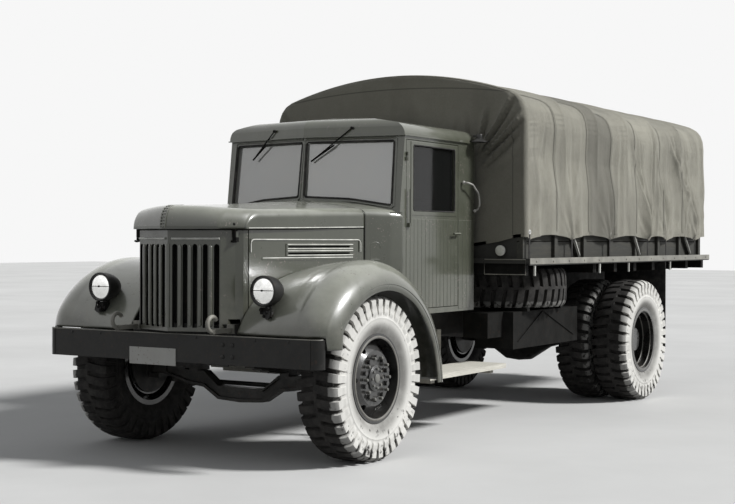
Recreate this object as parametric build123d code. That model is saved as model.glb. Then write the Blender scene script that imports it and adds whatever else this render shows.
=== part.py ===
from build123d import *
import math
import os
from collections import namedtuple

# A bonneted military cargo truck with a canvas cover over its load bed, in millimetres.
# Front is -Y, the driver's left is +X and the ground is Z = 0. Places along Y are counted
# from the front axle while modelling; ROW_SHIFT then moves every piece so that the origin
# lies on the ground under the middle of the truck.

# Running gear
WHEELBASE = 4520
TYRE_RADIUS = 560
TYRE_WIDTH = 320
TREAD_DEPTH = 30
LUG_COUNT = 20
RIM_SEAT_RADIUS = 281
RIM_FLANGE_RADIUS = 302
RIM_HALF_WIDTH = 132
RIM_WALL = 14
FRONT_TRACK_X = 980
TWIN_MIDDLE_X = 960
TWIN_SPACING = 370
STUD_CIRCLE_RADIUS = 142
STUD_COUNT = 10
NUT_RADIUS = 17
HAND_HOLE_RADIUS = 27
HAND_HOLE_CIRCLE = 226
DRUM_RADIUS = 222
DRUM_WALL = 12
HUB_CAP_RADIUS = 88
SPINDLE_RADIUS = 30
REAR_SPINDLE_RADIUS = 50
RUNNING_GAP = 0.3
MOVING_GAP = 6

# Steering
KINGPIN_X = 790
KINGPIN_RADIUS = 18
BEAM_END_LOW = 505
BEAM_END_HIGH = 612
STEER_ARM_LENGTH = 200
TIE_ROD_Z = 438

# Frame
RAIL_OUTER_X = 435
RAIL_TOP = 930
RAIL_HEIGHT = 220
RAIL_FLANGE = 80
RAIL_WALL = 9
RAIL_FRONT_Y = -672
BEAM_LOW_MIDDLE = 332
BEAM_DEPTH = 84
SPRING_LEAF = 11
FRONT_SPRING_HALF = 640
REAR_SPRING_HALF = 700
TOW_EYE_Z = 760
TOW_EYE_BORE = 26
TOW_EYE_HEIGHT = 44

# Bumper and nose
BUMPER_FRONT_Y = -762
BUMPER_HALF_WIDTH = 1150
BUMPER_CORNER = 64
BUMPER_BOTTOM = 672
BUMPER_TOP = 860
BUMPER_DEPTH = 76
BUMPER_WALL = 9
HOOK_X = 403
HOOK_CENTRE_Y = -878
HOOK_RADIUS = 62
HOOK_LOW_Z = 878
HOOK_BAR = 14
NOSE_RIDGE_Y = -836
NOSE_EDGE_X = 345
NOSE_EDGE_Y = -715
NOSE_CORNER_X = 445
NOSE_CORNER_Y = -610
NOSE_WALL = 20
NOSE_BACK_Y = -560
GRILLE_BOTTOM = 880
GRILLE_GAP_BOTTOM = 905
GRILLE_GAP_TOP = 1455
HOOD_PARTING_Z = 1545
HOOD_OVERHANG = 48
HOOD_SIDE_LAP = 14
HOOD_SIDE_FRONT_Y = -552
HOOD_SHOULDER = 62
SHEET = 6

# Fenders and lamps
ARCH_Y = -20
ARCH_Z = 450
FENDER_CROWN_R = 890
FENDER_CROWN_X = 960
FENDER_INNER_X = 458
FENDER_INNER_R = 790
FENDER_LIP_X = 1200
FENDER_LIP_R = 740
FENDER_LIP_BAND = 40
FENDER_FRONT_Y = -745
FENDER_FRONT_LOW = 790
FENDER_REAR_LOW = 478
LAMP_X = 696
LAMP_Y = -711
LAMP_Z = 1155
LAMP_RADIUS = 98
LAMP_RIM = 12
LAMP_DEPTH = 178

# Cab
COWL_Y = 600
CAB_FRONT_Y = 775
CAB_REAR_Y = 2000
CAB_HALF_WIDTH = 794
CAB_BOTTOM = 930
CAB_EAVES_Z = 2255
CAB_CROWN_Z = 2428
CAB_WALL = 40
SCREEN_CENTRE_Y = 706
SCREEN_BASE_Z = 1785
SCREEN_TOP_Z = 2222
SCREEN_HALF_WIDTH = 735
SCREEN_VEE = 0.17
SCREEN_RAKE = 0.12
SCREEN_STEP_Z = 1690
DOOR_FRONT_Y = 925
DOOR_REAR_Y = 1725
DOOR_BOTTOM = 975
DOOR_TOP = 2226
DOOR_GAP = 5
WINDOW_FRONT_Y = 1021
WINDOW_REAR_Y = 1668
WINDOW_BOTTOM = 1705
WINDOW_TOP = 2192
HINGE_RADIUS = 6
HOOD_HINGE_RADIUS = 8
PANE = 6
STEP_TOP = 500
STEP_OUTER_X = 1010

# Load bed and canvas
BED_FRONT_Y = 2058
BED_REAR_Y = 6481
BED_HALF_WIDTH = 1260
BED_TOP = 1342
BED_RAIL_BOTTOM = 1288
BED_PLANK = 40
LOAD_FLOOR_Z = BED_TOP + 4
GATE_HINGES_X = [240, 900]
BED_BEAM_LOW = 1206
BED_BEAM_WIDTH = 70
BOARD_X = 1128
BOARD_WALL = 26
BOARD_TOP = 1900
BOARD_COUNT = 4
STAKE_DEPTH = 28
CANVAS_X = 1214
CANVAS_HEM = 1500
CANVAS_WALL = 10
CANVAS_FRONT_Y = 2080
CANVAS_REAR_Y = 6462
CANVAS_CROWN = 2862
CANVAS_SHOULDER = 2685
CANVAS_BELT_Z = 1960
CANVAS_EAVES_Z = 2450
CANVAS_SAGS = [50, 38, 60, 46, 56, 42]
HOOP_COUNT = 7
HOOP_DEPTH = 28
HOOP_WIDTH = 40
HOOP_INSET = 50
HOOP_CLEARANCE = 12

# What hangs under the bed
SPARE_X = 620
SPARE_Y = CAB_REAR_Y + 840
UNDER_BED_FRONT_Y = CAB_REAR_Y + 300
LOCKER_OUTER_X = 1000
LOCKER_INNER_X = 650
LOCKER_BOTTOM = 600
CARRIER_DEPTH = 28
FLAP_WALL = 10
FLAP_BOTTOM = 430

# Worked out from the sizes above
AXLE_Z = TYRE_RADIUS
RAIL_BOTTOM = RAIL_TOP - RAIL_HEIGHT
RAIL_REAR_Y = BED_REAR_Y - 100
REAR_OUTER_X = TWIN_MIDDLE_X + TWIN_SPACING / 2
REAR_INNER_X = TWIN_MIDDLE_X - TWIN_SPACING / 2
TOW_EYE_Y = RAIL_REAR_Y + 90
TOW_EYE_RADIUS = TOW_EYE_BORE + 24
FRONT_TIP_Y = HOOK_CENTRE_Y - HOOK_RADIUS
REAR_TIP_Y = TOW_EYE_Y + TOW_EYE_RADIUS
ROW_SHIFT = -(FRONT_TIP_Y + REAR_TIP_Y) / 2
BOARD_Y = CANVAS_FRONT_Y + CANVAS_WALL + 4
TYRE_REAR_Y = WHEELBASE + TYRE_RADIUS
TYRE_FRONT_Y = WHEELBASE - TYRE_RADIUS
SPARE_REAR_Y = SPARE_Y + TYRE_RADIUS
SPARE_Z = RAIL_TOP + TYRE_WIDTH / 2 + 2

HoodStation = namedtuple("HoodStation", "y half_width low side_top crown")
HOOD_STATIONS = [
    HoodStation(-930, 424, HOOD_PARTING_Z + 6, 1672, 1700),
    HoodStation(-150, 536, HOOD_PARTING_Z + 16, 1694, 1728),
    HoodStation(COWL_Y, 630, HOOD_PARTING_Z + 28, 1712, 1768),
    HoodStation(860, CAB_HALF_WIDTH + 2, HOOD_PARTING_Z + 28, 1704, 1802),
]
HOOD_REAR = HOOD_STATIONS[2]
HOOD_HINGE_Y = COWL_Y - 2
HOOD_HINGE_Z = HOOD_REAR.crown - 2
GATE_HINGE_Y = BED_REAR_Y + 14
GATE_HINGE_Z = BED_TOP + 4

CrossMember = namedtuple("CrossMember", "y depth drop")
CROSS_MEMBERS = [
    CrossMember(RAIL_FRONT_Y + 32, 60, 40),
    CrossMember(CAB_REAR_Y - 360, 70, 130),
    CrossMember(WHEELBASE - 1070, 70, 90),
    CrossMember(WHEELBASE + 780, 70, 60),
    CrossMember(RAIL_REAR_Y - 45, 90, 0),
]

GrilleGap = namedtuple("GrilleGap", "inner outer")
GRILLE_GAPS = [
    GrilleGap(30, 64),
    GrilleGap(98, 130),
    GrilleGap(163, 194),
    GrilleGap(230, 263),
    GrilleGap(303, 338),
]

Louvre = namedtuple("Louvre", "z height")
LOUVRES = [Louvre(1384, 14), Louvre(1430, 14)]

Stay = namedtuple("Stay", "top_y foot_y")
STAYS = [Stay(3050, 3205), Stay(4480, 4640), Stay(5900, 6090)]
ROPE_HOOKS_Y = [2180, 3520, 4210, 5320]

os.makedirs("parts", exist_ok=True)


# Helpers

def block(x0, x1, y0, y1, z0, z1):
    """Box between two corners."""
    return Pos((x0 + x1) / 2, (y0 + y1) / 2, (z0 + z1) / 2) * Box(x1 - x0, y1 - y0, z1 - z0)


def side_plate(outline, x0, x1):
    """Closed (y, z) outline extruded from x0 to x1."""
    face = make_face(Polyline(*outline, close=True))
    return extrude(Plane.YZ.offset(x0) * face, x1 - x0)


def front_plate(outline, y0, y1):
    """Closed (x, z) outline extruded from y0 to y1."""
    face = make_face(Polyline(*outline, close=True))
    return extrude(Plane.XZ.offset(-y1) * face, y1 - y0)


def flat_plate(outline, z0, z1):
    """Closed (x, y) outline extruded from z0 to z1."""
    face = make_face(Polyline(*outline, close=True))
    return extrude(Plane.XY.offset(z0) * face, z1 - z0)


def rod_x(x0, x1, y, z, radius):
    """Cylinder along X."""
    return Pos((x0 + x1) / 2, y, z) * Rot(0, 90, 0) * Cylinder(radius, x1 - x0)


def rod_y(x, y0, y1, z, radius):
    """Cylinder along Y."""
    return Pos(x, (y0 + y1) / 2, z) * Rot(90, 0, 0) * Cylinder(radius, y1 - y0)


def rod_z(x, y, z0, z1, radius):
    """Cylinder along Z."""
    return Pos(x, y, (z0 + z1) / 2) * Cylinder(radius, z1 - z0)


def rod_between(start, end, radius):
    """Cylinder from one point to another."""
    along = Vector(*end) - Vector(*start)
    return Plane(Vector(*start), z_dir=along) * Pos(0, 0, along.length / 2) * Cylinder(radius, along.length)


def bent_rod(points, radius):
    """Round bar through points, with a ball at each bend."""
    bar = rod_between(points[0], points[1], radius)
    for start, end in zip(points[1:], points[2:]):
        bar += Pos(*start) * Sphere(radius)
        bar += rod_between(start, end, radius)
    return bar


def lathe_x(profile):
    """Revolve a closed (x, radius) outline about the X axis."""
    return revolve(make_face(Polyline(*profile, close=True)), Axis.X)


def mirrored(solid):
    """The solid and its twin on the other side of the truck."""
    return solid + mirror(solid, Plane.YZ)


def both_ways(points):
    """Right half of an outline, from the centre out, closed by its mirror."""
    return points + [(-x, y) for x, y in reversed(points) if x != 0]


def fused(solids):
    """All the solids as one."""
    return solids[0] + solids[1:] if len(solids) > 1 else solids[0]


def evenly(first, last, count):
    """Count values from first to last."""
    return [first + (last - first) * index / (count - 1) for index in range(count)]


def corner_arc(x, y, radius, turn_x, turn_y):
    """Quarter arc of an outline round the outer corner (x, y)."""
    cut = radius * (1 - math.sqrt(0.5))
    return ThreePointArc((x - turn_x * radius, y), (x - turn_x * cut, y - turn_y * cut), (x, y - turn_y * radius))


def put(name, solid):
    """Move a finished piece to the row's frame and write it."""
    moved = Pos(0, ROW_SHIFT, 0) * solid
    moved.label = name
    export_step(moved, f"parts/{name}.step")


# Frame, bumper and hooks

def frame_rails():
    """Two channel rails with their cross members."""
    x1 = RAIL_OUTER_X
    x0 = x1 - RAIL_FLANGE
    web_x = x1 - RAIL_WALL
    rail = block(x0, x1, RAIL_FRONT_Y, RAIL_REAR_Y, RAIL_BOTTOM, RAIL_TOP)
    rail -= block(x0 - 1, web_x, RAIL_FRONT_Y - 1, RAIL_REAR_Y + 1,
                  RAIL_BOTTOM + RAIL_WALL, RAIL_TOP - RAIL_WALL)
    frame = mirrored(rail)
    for member in CROSS_MEMBERS:
        frame += block(-web_x, web_x, member.y - member.depth / 2, member.y + member.depth / 2,
                       RAIL_BOTTOM + RAIL_WALL + member.drop, RAIL_TOP - RAIL_WALL)
    return frame


def tow_eye():
    """Ring on a short shank, bolted to the last cross member by its plate."""
    half = TOW_EYE_HEIGHT / 2
    plate_y = CROSS_MEMBERS[-1].y + CROSS_MEMBERS[-1].depth / 2
    eye = rod_y(0, plate_y, TOW_EYE_Y - TOW_EYE_BORE - 8, TOW_EYE_Z, half - 2)
    eye += block(-90, 90, plate_y, plate_y + 14, TOW_EYE_Z - 40, TOW_EYE_Z + 90)
    eye += rod_z(0, TOW_EYE_Y, TOW_EYE_Z - half, TOW_EYE_Z + half, TOW_EYE_RADIUS)
    return eye - rod_z(0, TOW_EYE_Y, TOW_EYE_Z - 30, TOW_EYE_Z + 30, TOW_EYE_BORE)


def bumper_plan(inset):
    """Plan of the bumper with its rounded ends, drawn in by inset."""
    radius = BUMPER_CORNER - inset
    side = BUMPER_HALF_WIDTH - inset
    front = BUMPER_FRONT_Y + inset
    back = BUMPER_FRONT_Y + BUMPER_DEPTH
    return make_face([
        Line((-side, back), (-side, front + radius)),
        corner_arc(-side, front, radius, -1, -1),
        Line((-side + radius, front), (side - radius, front)),
        corner_arc(side, front, radius, 1, -1),
        Line((side, front + radius), (side, back)),
        Line((side, back), (-side, back)),
    ])


def front_bumper():
    """Pressed channel, open to the back, on two brackets at the rails' ends."""
    low = BUMPER_BOTTOM + BUMPER_WALL
    high = BUMPER_TOP - BUMPER_WALL
    bumper = extrude(Plane.XY.offset(BUMPER_BOTTOM) * bumper_plan(0), BUMPER_TOP - BUMPER_BOTTOM)
    back = BUMPER_FRONT_Y + BUMPER_DEPTH
    pocket = extrude(Plane.XY.offset(low) * bumper_plan(BUMPER_WALL), high - low)
    pocket += block(-BUMPER_HALF_WIDTH + BUMPER_WALL, BUMPER_HALF_WIDTH - BUMPER_WALL,
                    back - 20, back + 20, low, high)
    bracket = block(RAIL_OUTER_X - 60, RAIL_OUTER_X, BUMPER_FRONT_Y + BUMPER_WALL, RAIL_FRONT_Y,
                    RAIL_BOTTOM + 10, high)
    return (bumper - pocket) + mirrored(bracket)


def tow_hooks():
    """Open round-bar hooks on the rails' front ends, just above the bumper."""
    ring = HOOK_RADIUS - HOOK_BAR
    half = HOOK_BAR + 1
    centre = Plane((HOOK_X, HOOK_CENTRE_Y, HOOK_LOW_Z + HOOK_RADIUS), x_dir=(0, 0, -1), z_dir=(-1, 0, 0))
    curl = centre * Torus(ring, HOOK_BAR, major_angle=240)
    shank = block(HOOK_X - half, HOOK_X + half, HOOK_CENTRE_Y - 3, RAIL_FRONT_Y,
                  HOOK_LOW_Z - 1, HOOK_LOW_Z + 2 * half - 1)
    foot = block(HOOK_X - 28, HOOK_X + 28, RAIL_FRONT_Y - 12, RAIL_FRONT_Y, HOOK_LOW_Z - 8, RAIL_TOP)
    return mirrored(curl + shank + foot)


def number_plate():
    """Blank plate low on the bumper, left of the middle as seen from the front."""
    return block(-391, 11, BUMPER_FRONT_Y - 4, BUMPER_FRONT_Y, 645, 760)


# Springs, axles and steering

def leaf_spring(x, width, y_mid, half_span, z_seat, rise, leaves):
    """Stack of curved leaves, the longest on top with an eye at each end."""
    radius = (half_span ** 2 + rise ** 2) / (2 * rise)
    pack = []
    for index in range(leaves):
        half = math.asin(half_span * (1 - 0.8 * index / leaves) / radius)
        upper = z_seat + (leaves - index) * SPRING_LEAF
        centre_z = upper + radius

        def at(r, angle):
            return (y_mid + r * math.sin(angle), centre_z - r * math.cos(angle))

        outer = radius + SPRING_LEAF
        face = make_face([
            ThreePointArc(at(radius, -half), at(radius, 0), at(radius, half)),
            Line(at(radius, half), at(outer, half)),
            ThreePointArc(at(outer, half), at(outer, 0), at(outer, -half)),
            Line(at(outer, -half), at(radius, -half)),
        ])
        pack.append(extrude(Plane.YZ.offset(x - width / 2) * face, width))
    eye_z = z_seat + leaves * SPRING_LEAF + rise
    for end in (-1, 1):
        pack.append(rod_x(x - width / 2, x + width / 2, y_mid + end * half_span, eye_z, 24))
    return fused(pack)


def front_springs():
    """Leaf packs between the axle beam and the underside of the rails."""
    width = 76
    x = RAIL_OUTER_X - width / 2 + 3
    pack = leaf_spring(x, width, 0, FRONT_SPRING_HALF, 566, 52, 6)
    pack += block(x - 38, x + 38, -70, 70, 540, 568)
    for end in (-1, 1):
        y = end * FRONT_SPRING_HALF
        pack += block(x - 38, RAIL_OUTER_X, y - 20, y + 20, RAIL_BOTTOM - 26, RAIL_BOTTOM)
    return mirrored(pack)


def rear_springs():
    """Leaf packs outside the rails, on the axle casing's seats."""
    x = RAIL_OUTER_X + 85
    seat = AXLE_Z + 88
    pack = leaf_spring(x, 88, WHEELBASE, REAR_SPRING_HALF, seat, 92, 8)
    for end in (-1, 1):
        y = WHEELBASE + end * REAR_SPRING_HALF
        pack += block(RAIL_OUTER_X, x + 44, y - 50, y + 50, seat + 152, seat + 232)
    return mirrored(pack)


def beam_outline(points):
    """Whole outline of the axle beam from its right half."""
    inner = points[1:-1]
    return [points[0]] + inner + [points[-1]] + [(-x, z) for x, z in reversed(inner)]


def front_axle_beam():
    """Forged drop-centre beam of I section with a bored boss at each end."""
    low = BEAM_LOW_MIDDLE
    half = BEAM_DEPTH / 2
    outline = beam_outline([
        (0, low + 104), (200, low + 108), (330, 540), (470, 540), (690, 585),
        (KINGPIN_X - half, BEAM_END_HIGH), (KINGPIN_X, BEAM_END_HIGH),
        (KINGPIN_X, BEAM_END_LOW), (KINGPIN_X - half, BEAM_END_LOW),
        (690, 500), (470, 440), (330, 424), (200, low + 12), (0, low),
    ])
    groove = beam_outline([
        (0, low + 84), (190, low + 88), (330, 520), (470, 520), (680, 560),
        (680, 515), (470, 462), (330, 446), (190, low + 32), (0, low + 24),
    ])
    beam = front_plate(outline, -half, half)
    beam += mirrored(rod_z(KINGPIN_X, 0, BEAM_END_LOW, BEAM_END_HIGH, half))
    beam -= front_plate(groove, -half - 10, -half + 22)
    beam -= front_plate(groove, half - 22, half + 10)
    hole = rod_z(KINGPIN_X, 0, BEAM_END_LOW - 20, BEAM_END_HIGH + 20, KINGPIN_RADIUS + RUNNING_GAP)
    return beam - mirrored(hole)


def knuckle_left():
    """Yoke round the beam's end with its kingpin, spindle, back plate and steering arm."""
    x = KINGPIN_X
    half = BEAM_DEPTH / 2
    outer = x + 72
    top = BEAM_END_HIGH + 38
    low = BEAM_END_LOW - 39
    wall_x = x + half + MOVING_GAP
    drum_x = FRONT_TRACK_X - 112
    yoke = block(x - half, outer, -half, half, BEAM_END_HIGH + MOVING_GAP, top)
    yoke += block(x - half, outer, -half, half, low, BEAM_END_LOW - MOVING_GAP)
    yoke += block(wall_x, outer, -60, 60, low, top)
    pin = rod_z(x, 0, low + 4, top - 2, KINGPIN_RADIUS)
    plate = rod_x(drum_x - 16, drum_x - MOVING_GAP, 0, AXLE_Z, DRUM_RADIUS - 14)
    spindle = rod_x(wall_x + 5, FRONT_TRACK_X + 96, 0, AXLE_Z, SPINDLE_RADIUS)
    arm = block(x - 16, x + 16, 20, STEER_ARM_LENGTH + 22, low, low + 28)
    stub = rod_z(x, STEER_ARM_LENGTH, TIE_ROD_Z - 18, low + 4, 12)
    return yoke + pin + plate + spindle + arm + stub


def tie_rod():
    """Rod between the two steering arms; the right eye has room round its pin."""
    y = STEER_ARM_LENGTH
    rod = rod_x(-KINGPIN_X + 20, KINGPIN_X - 20, y, TIE_ROD_Z, 17)
    for side, room in ((1, RUNNING_GAP), (-1, 3)):
        x = side * KINGPIN_X
        rod += rod_z(x, y, TIE_ROD_Z - 18, TIE_ROD_Z + 18, 27)
        rod -= rod_z(x, y, TIE_ROD_Z - 40, TIE_ROD_Z + 40, 12 + room)
    return rod


def rear_axle():
    """Banjo casing with its nose, cover, spring seats, back plates and spindles."""
    spring_x = RAIL_OUTER_X + 85
    end_x = TWIN_MIDDLE_X - 305
    bulb = [(0, 0), (0, 250), (120, 238), (230, 170), (330, 108), (420, 84), (end_x, 78), (end_x, 0)]
    half = lathe_x(bulb)
    half += lathe_x([(end_x - 43, 70), (end_x - 43, 205), (end_x - 31, 205), (end_x - 31, 70)])
    half += block(spring_x - 46, spring_x + 46, -60, 60, 60, 88)
    half += rod_x(end_x - 15, REAR_OUTER_X + 20, 0, 0, REAR_SPINDLE_RADIUS)
    casing = half + mirror(half, Plane.YZ)
    casing += rod_y(0, -330, 0, 0, 110)
    casing += rod_y(0, 0, 262, 0, 150)
    return Pos(0, WHEELBASE, AXLE_Z) * casing


def drive_shaft():
    """Tube from the gearbox to the rear axle's nose, with a joint at each end."""
    start = Vector(0, 1506, 790)
    end = Vector(0, WHEELBASE - 336, AXLE_Z + 20)
    return rod_between(start, end, 45)


def engine():
    """Plain block for the engine on its two mounts, with the gearbox behind it."""
    body = block(-230, 230, -420, 640, 690, 1360)
    body += block(-170, 170, 640, 1500, 640, 900)
    return body + mirrored(block(229, RAIL_OUTER_X - RAIL_WALL, -30, 40, 790, 840))


def radiator():
    """Plain block for the radiator, standing on the front cross member."""
    return block(-350, 350, RAIL_FRONT_Y + 47, RAIL_FRONT_Y + 147, RAIL_TOP - RAIL_WALL, 1470)


# Wheels, each modelled about the X axis with its outboard side towards +X

def tyre():
    """Carcass with two staggered rows of slanted lugs that run down its shoulders."""
    w = TYRE_WIDTH / 2
    base = TYRE_RADIUS - TREAD_DEPTH
    bead = RIM_SEAT_RADIUS + 1
    carcass = lathe_x([
        (-w * 0.70, bead), (w * 0.70, bead), (w * 0.80, bead + 48), (w, bead + 133),
        (w * 0.96, base - 40), (w * 0.82, base), (-w * 0.82, base), (-w * 0.96, base - 40),
        (-w, bead + 133), (-w * 0.80, bead + 48),
    ])
    step = 360 / LUG_COUNT
    half = math.pi * TYRE_RADIUS / LUG_COUNT * 0.56
    slant = 14
    low = base - 60
    edge = w * 0.95
    lug = flat_plate([(2, -half), (edge, -half - slant), (edge, half - slant), (2, half - 4)],
                     low, TYRE_RADIUS + 6)
    lug &= lathe_x([(0, low), (edge, low), (w * 0.97, base - 25), (w * 0.90, TYRE_RADIUS - 8),
                    (w * 0.6, TYRE_RADIUS), (0, TYRE_RADIUS)])
    twin = mirror(lug, Plane.YZ)
    lugs = []
    for index in range(LUG_COUNT):
        lugs.append(Rot(index * step, 0, 0) * lug)
        lugs.append(Rot((index + 0.5) * step, 0, 0) * twin)
    return carcass + lugs


def nut_ring(x0, x1, radius):
    """Ring of wheel nuts."""
    angles = [2 * math.pi * index / STUD_COUNT for index in range(STUD_COUNT)]
    return [rod_x(x0, x1, radius * math.sin(a), radius * math.cos(a), NUT_RADIUS) for a in angles]


def hand_holes(x0, x1):
    """Ring of round holes that are cut through a wheel disc."""
    angles = [math.pi * (index + 0.5) / 3 for index in range(6)]
    return [rod_x(x0, x1, HAND_HOLE_CIRCLE * math.sin(a), HAND_HOLE_CIRCLE * math.cos(a), HAND_HOLE_RADIUS)
            for a in angles]


def rim_barrel():
    """Rim with a flange on each side of the tyre's seat."""
    seat = RIM_SEAT_RADIUS
    lip = RIM_FLANGE_RADIUS
    h = RIM_HALF_WIDTH
    return lathe_x([
        (-h, seat - RIM_WALL), (h, seat - RIM_WALL), (h, lip), (h - 12, lip), (h - 12, seat),
        (-h + 12, seat), (-h + 12, lip), (-h, lip),
    ])


def front_wheel():
    """Rim with an outward-dished disc, ten nuts, hub cap, hub and brake drum."""
    seat = RIM_SEAT_RADIUS - RIM_WALL
    bore = SPINDLE_RADIUS + RUNNING_GAP
    disc = lathe_x([
        (30, seat + 2), (44, seat + 2), (112, 186), (112, 60), (100, 60), (100, 182), (34, seat - 14),
        (30, seat - 14),
    ])
    disc -= hand_holes(20, 130)
    drum = lathe_x([
        (-112, DRUM_RADIUS), (30, DRUM_RADIUS), (30, 100), (104, 100), (104, bore), (-60, bore),
        (-60, 66), (18, 66), (18, DRUM_RADIUS - DRUM_WALL), (-112, DRUM_RADIUS - DRUM_WALL),
    ])
    cap = lathe_x([
        (103, 0), (103, HUB_CAP_RADIUS), (122, HUB_CAP_RADIUS), (130, HUB_CAP_RADIUS - 14), (130, 0),
    ])
    return (rim_barrel() + disc + drum + cap) + nut_ring(110, 134, STUD_CIRCLE_RADIUS)


def rear_wheel():
    """Twin rims, their dished discs back to back, ten nuts, hub and brake drum."""
    half = TWIN_SPACING / 2
    seat = RIM_SEAT_RADIUS - RIM_WALL
    far = half - 43
    bore = REAR_SPINDLE_RADIUS + RUNNING_GAP
    disc = lathe_x([
        (far - 12, seat + 2), (far, seat + 2), (far, seat - 10), (12, 186), (12, 100), (0, 100),
        (0, 190), (far - 14, seat - 6),
    ])
    disc -= hand_holes(-10, half)
    hub = lathe_x([
        (-330, DRUM_RADIUS), (-160, DRUM_RADIUS), (-160, 118), (half + 26, 112), (half + 26, bore),
        (-250, bore), (-250, 90), (-172, 100), (-172, DRUM_RADIUS - DRUM_WALL),
        (-330, DRUM_RADIUS - DRUM_WALL),
    ])
    end = half + 25
    cap = lathe_x([(end, 0), (end, 112), (end + 24, 104), (end + 24, 0)])
    rims = Pos(half, 0, 0) * rim_barrel() + Pos(-half, 0, 0) * rim_barrel()
    discs = disc + mirror(disc, Plane.YZ)
    return (rims + discs + hub + cap) + nut_ring(10, 40, STUD_CIRCLE_RADIUS + 10)


# Fenders, nose and hood

def fender_mass(t, inner_x, reach_x):
    """Space under the fender's pressed skin, drawn in by t from its outside."""
    crown = FENDER_CROWN_R - t
    lip_x = FENDER_LIP_X - t
    lip_r = FENDER_LIP_R - t
    mid_x = FENDER_CROWN_X + (lip_x - FENDER_CROWN_X) * 0.77
    mid_r = lip_r + (crown - lip_r) * 0.68
    saddle = (FENDER_CROWN_X - 230, crown - 28)
    edges = [
        Line((inner_x, 100), (inner_x, FENDER_INNER_R - t)),
        ThreePointArc((inner_x, FENDER_INNER_R - t), saddle, (FENDER_CROWN_X, crown)),
        ThreePointArc((FENDER_CROWN_X, crown), (mid_x, mid_r), (lip_x, lip_r)),
        Line((reach_x, lip_r), (reach_x, 100)),
        Line((reach_x, 100), (inner_x, 100)),
    ]
    if reach_x > lip_x:
        edges.append(Line((lip_x, lip_r), (reach_x, lip_r)))
    turned = Pos(0, ARCH_Y, ARCH_Z) * revolve(make_face(edges), Axis.X)
    corner = 250 - t
    front = FENDER_FRONT_Y + t
    far_x = reach_x + 1
    near_x = inner_x - 5
    back = 1000
    plan = make_face([
        Line((near_x, back), (near_x, front)),
        Line((near_x, front), (lip_x - corner, front)),
        corner_arc(lip_x, front, corner, 1, -1),
        Line((lip_x, front + corner), (far_x, front + corner)),
        Line((far_x, front + corner), (far_x, back)),
        Line((far_x, back), (near_x, back)),
    ])
    return turned & extrude(Plane.XY.offset(200) * plan, 1400)


def body_space():
    """Space that the hood sides, cowl and cab fill, which the fenders stop at."""
    return flat_plate(both_ways([
        (0, NOSE_CORNER_Y), (NOSE_CORNER_X + 6, NOSE_CORNER_Y), (NOSE_CORNER_X + 10, HOOD_SIDE_FRONT_Y),
        (HOOD_REAR.half_width, COWL_Y), (748, CAB_FRONT_Y), (CAB_HALF_WIDTH, CAB_FRONT_Y + 90),
        (CAB_HALF_WIDTH, CAB_REAR_Y),
    ]), CAB_BOTTOM, 2000)


def fender_left():
    """Pressed fender: a domed skin with a flat rolled lip round the wheel arch."""
    shell = fender_mass(0, FENDER_INNER_X, FENDER_LIP_X)
    shell -= fender_mass(SHEET, FENDER_INNER_X - 20, FENDER_LIP_X + 60)
    lip = lathe_x([
        (FENDER_LIP_X - 10, FENDER_LIP_R - FENDER_LIP_BAND), (FENDER_LIP_X + 4, FENDER_LIP_R - FENDER_LIP_BAND),
        (FENDER_LIP_X + 4, FENDER_LIP_R), (FENDER_LIP_X - 10, FENDER_LIP_R),
    ])
    shell += (Pos(0, ARCH_Y, ARCH_Z) * lip) & block(1000, 1300, FENDER_FRONT_Y + 150, 1000, 200, 1500)
    behind = BUMPER_FRONT_Y + BUMPER_DEPTH + 10
    keep = side_plate([
        (-1000, BUMPER_TOP + 8), (behind, BUMPER_TOP + 8), (behind, FENDER_FRONT_LOW),
        (ARCH_Y, FENDER_FRONT_LOW), (ARCH_Y, FENDER_REAR_LOW),
        (1000, FENDER_REAR_LOW), (1000, 1500), (-1000, 1500),
    ], 400, 1300)
    return (shell & keep) - body_space()


def headlamps():
    """Round lamps with bullet backs, on brackets that stand on the fenders, with marker lamps below."""
    lens_y = LAMP_Y - 13
    back_y = LAMP_Y + LAMP_DEPTH
    bullet = make_face([
        Line((0, lens_y), (LAMP_RADIUS, lens_y)),
        Line((LAMP_RADIUS, lens_y), (LAMP_RADIUS, LAMP_Y + 13)),
        ThreePointArc((LAMP_RADIUS, LAMP_Y + 13), (LAMP_RADIUS * 0.8, LAMP_Y + LAMP_DEPTH * 0.58), (16, back_y)),
        Line((16, back_y), (0, back_y)),
        Line((0, back_y), (0, lens_y)),
    ])
    bowl = Pos(LAMP_X, 0, LAMP_Z) * revolve(bullet, Axis.Y)
    bowl -= rod_y(LAMP_X, lens_y - 1, lens_y + 5, LAMP_Z, LAMP_RADIUS - LAMP_RIM)
    stalk = block(LAMP_X - 18, LAMP_X + 18, LAMP_Y + 34, LAMP_Y + 64, 900, LAMP_Z - 60)
    side_lamp = rod_y(LAMP_X + 24, LAMP_Y - 8, LAMP_Y + 40, LAMP_Z - 152, 26)
    outside = fender_mass(-1, FENDER_INNER_X, FENDER_LIP_X + 1)
    return mirrored((bowl + stalk + side_lamp) - outside)


def lamp_lenses():
    """Clear discs in the headlamps' rims."""
    lens_y = LAMP_Y - 13
    return mirrored(rod_y(LAMP_X, lens_y, lens_y + 5, LAMP_Z, LAMP_RADIUS - LAMP_RIM))


def nose_plan(t, back):
    """Plan of the veed nose, drawn in by t and carried back to a given Y."""
    return both_ways([
        (0, NOSE_RIDGE_Y + t), (NOSE_EDGE_X, NOSE_EDGE_Y + t),
        (NOSE_CORNER_X - 40 - t * 0.4, NOSE_CORNER_Y - 26 + t),
        (NOSE_CORNER_X - t, NOSE_CORNER_Y + 12), (NOSE_CORNER_X + 8 - t, back),
    ])


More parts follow.
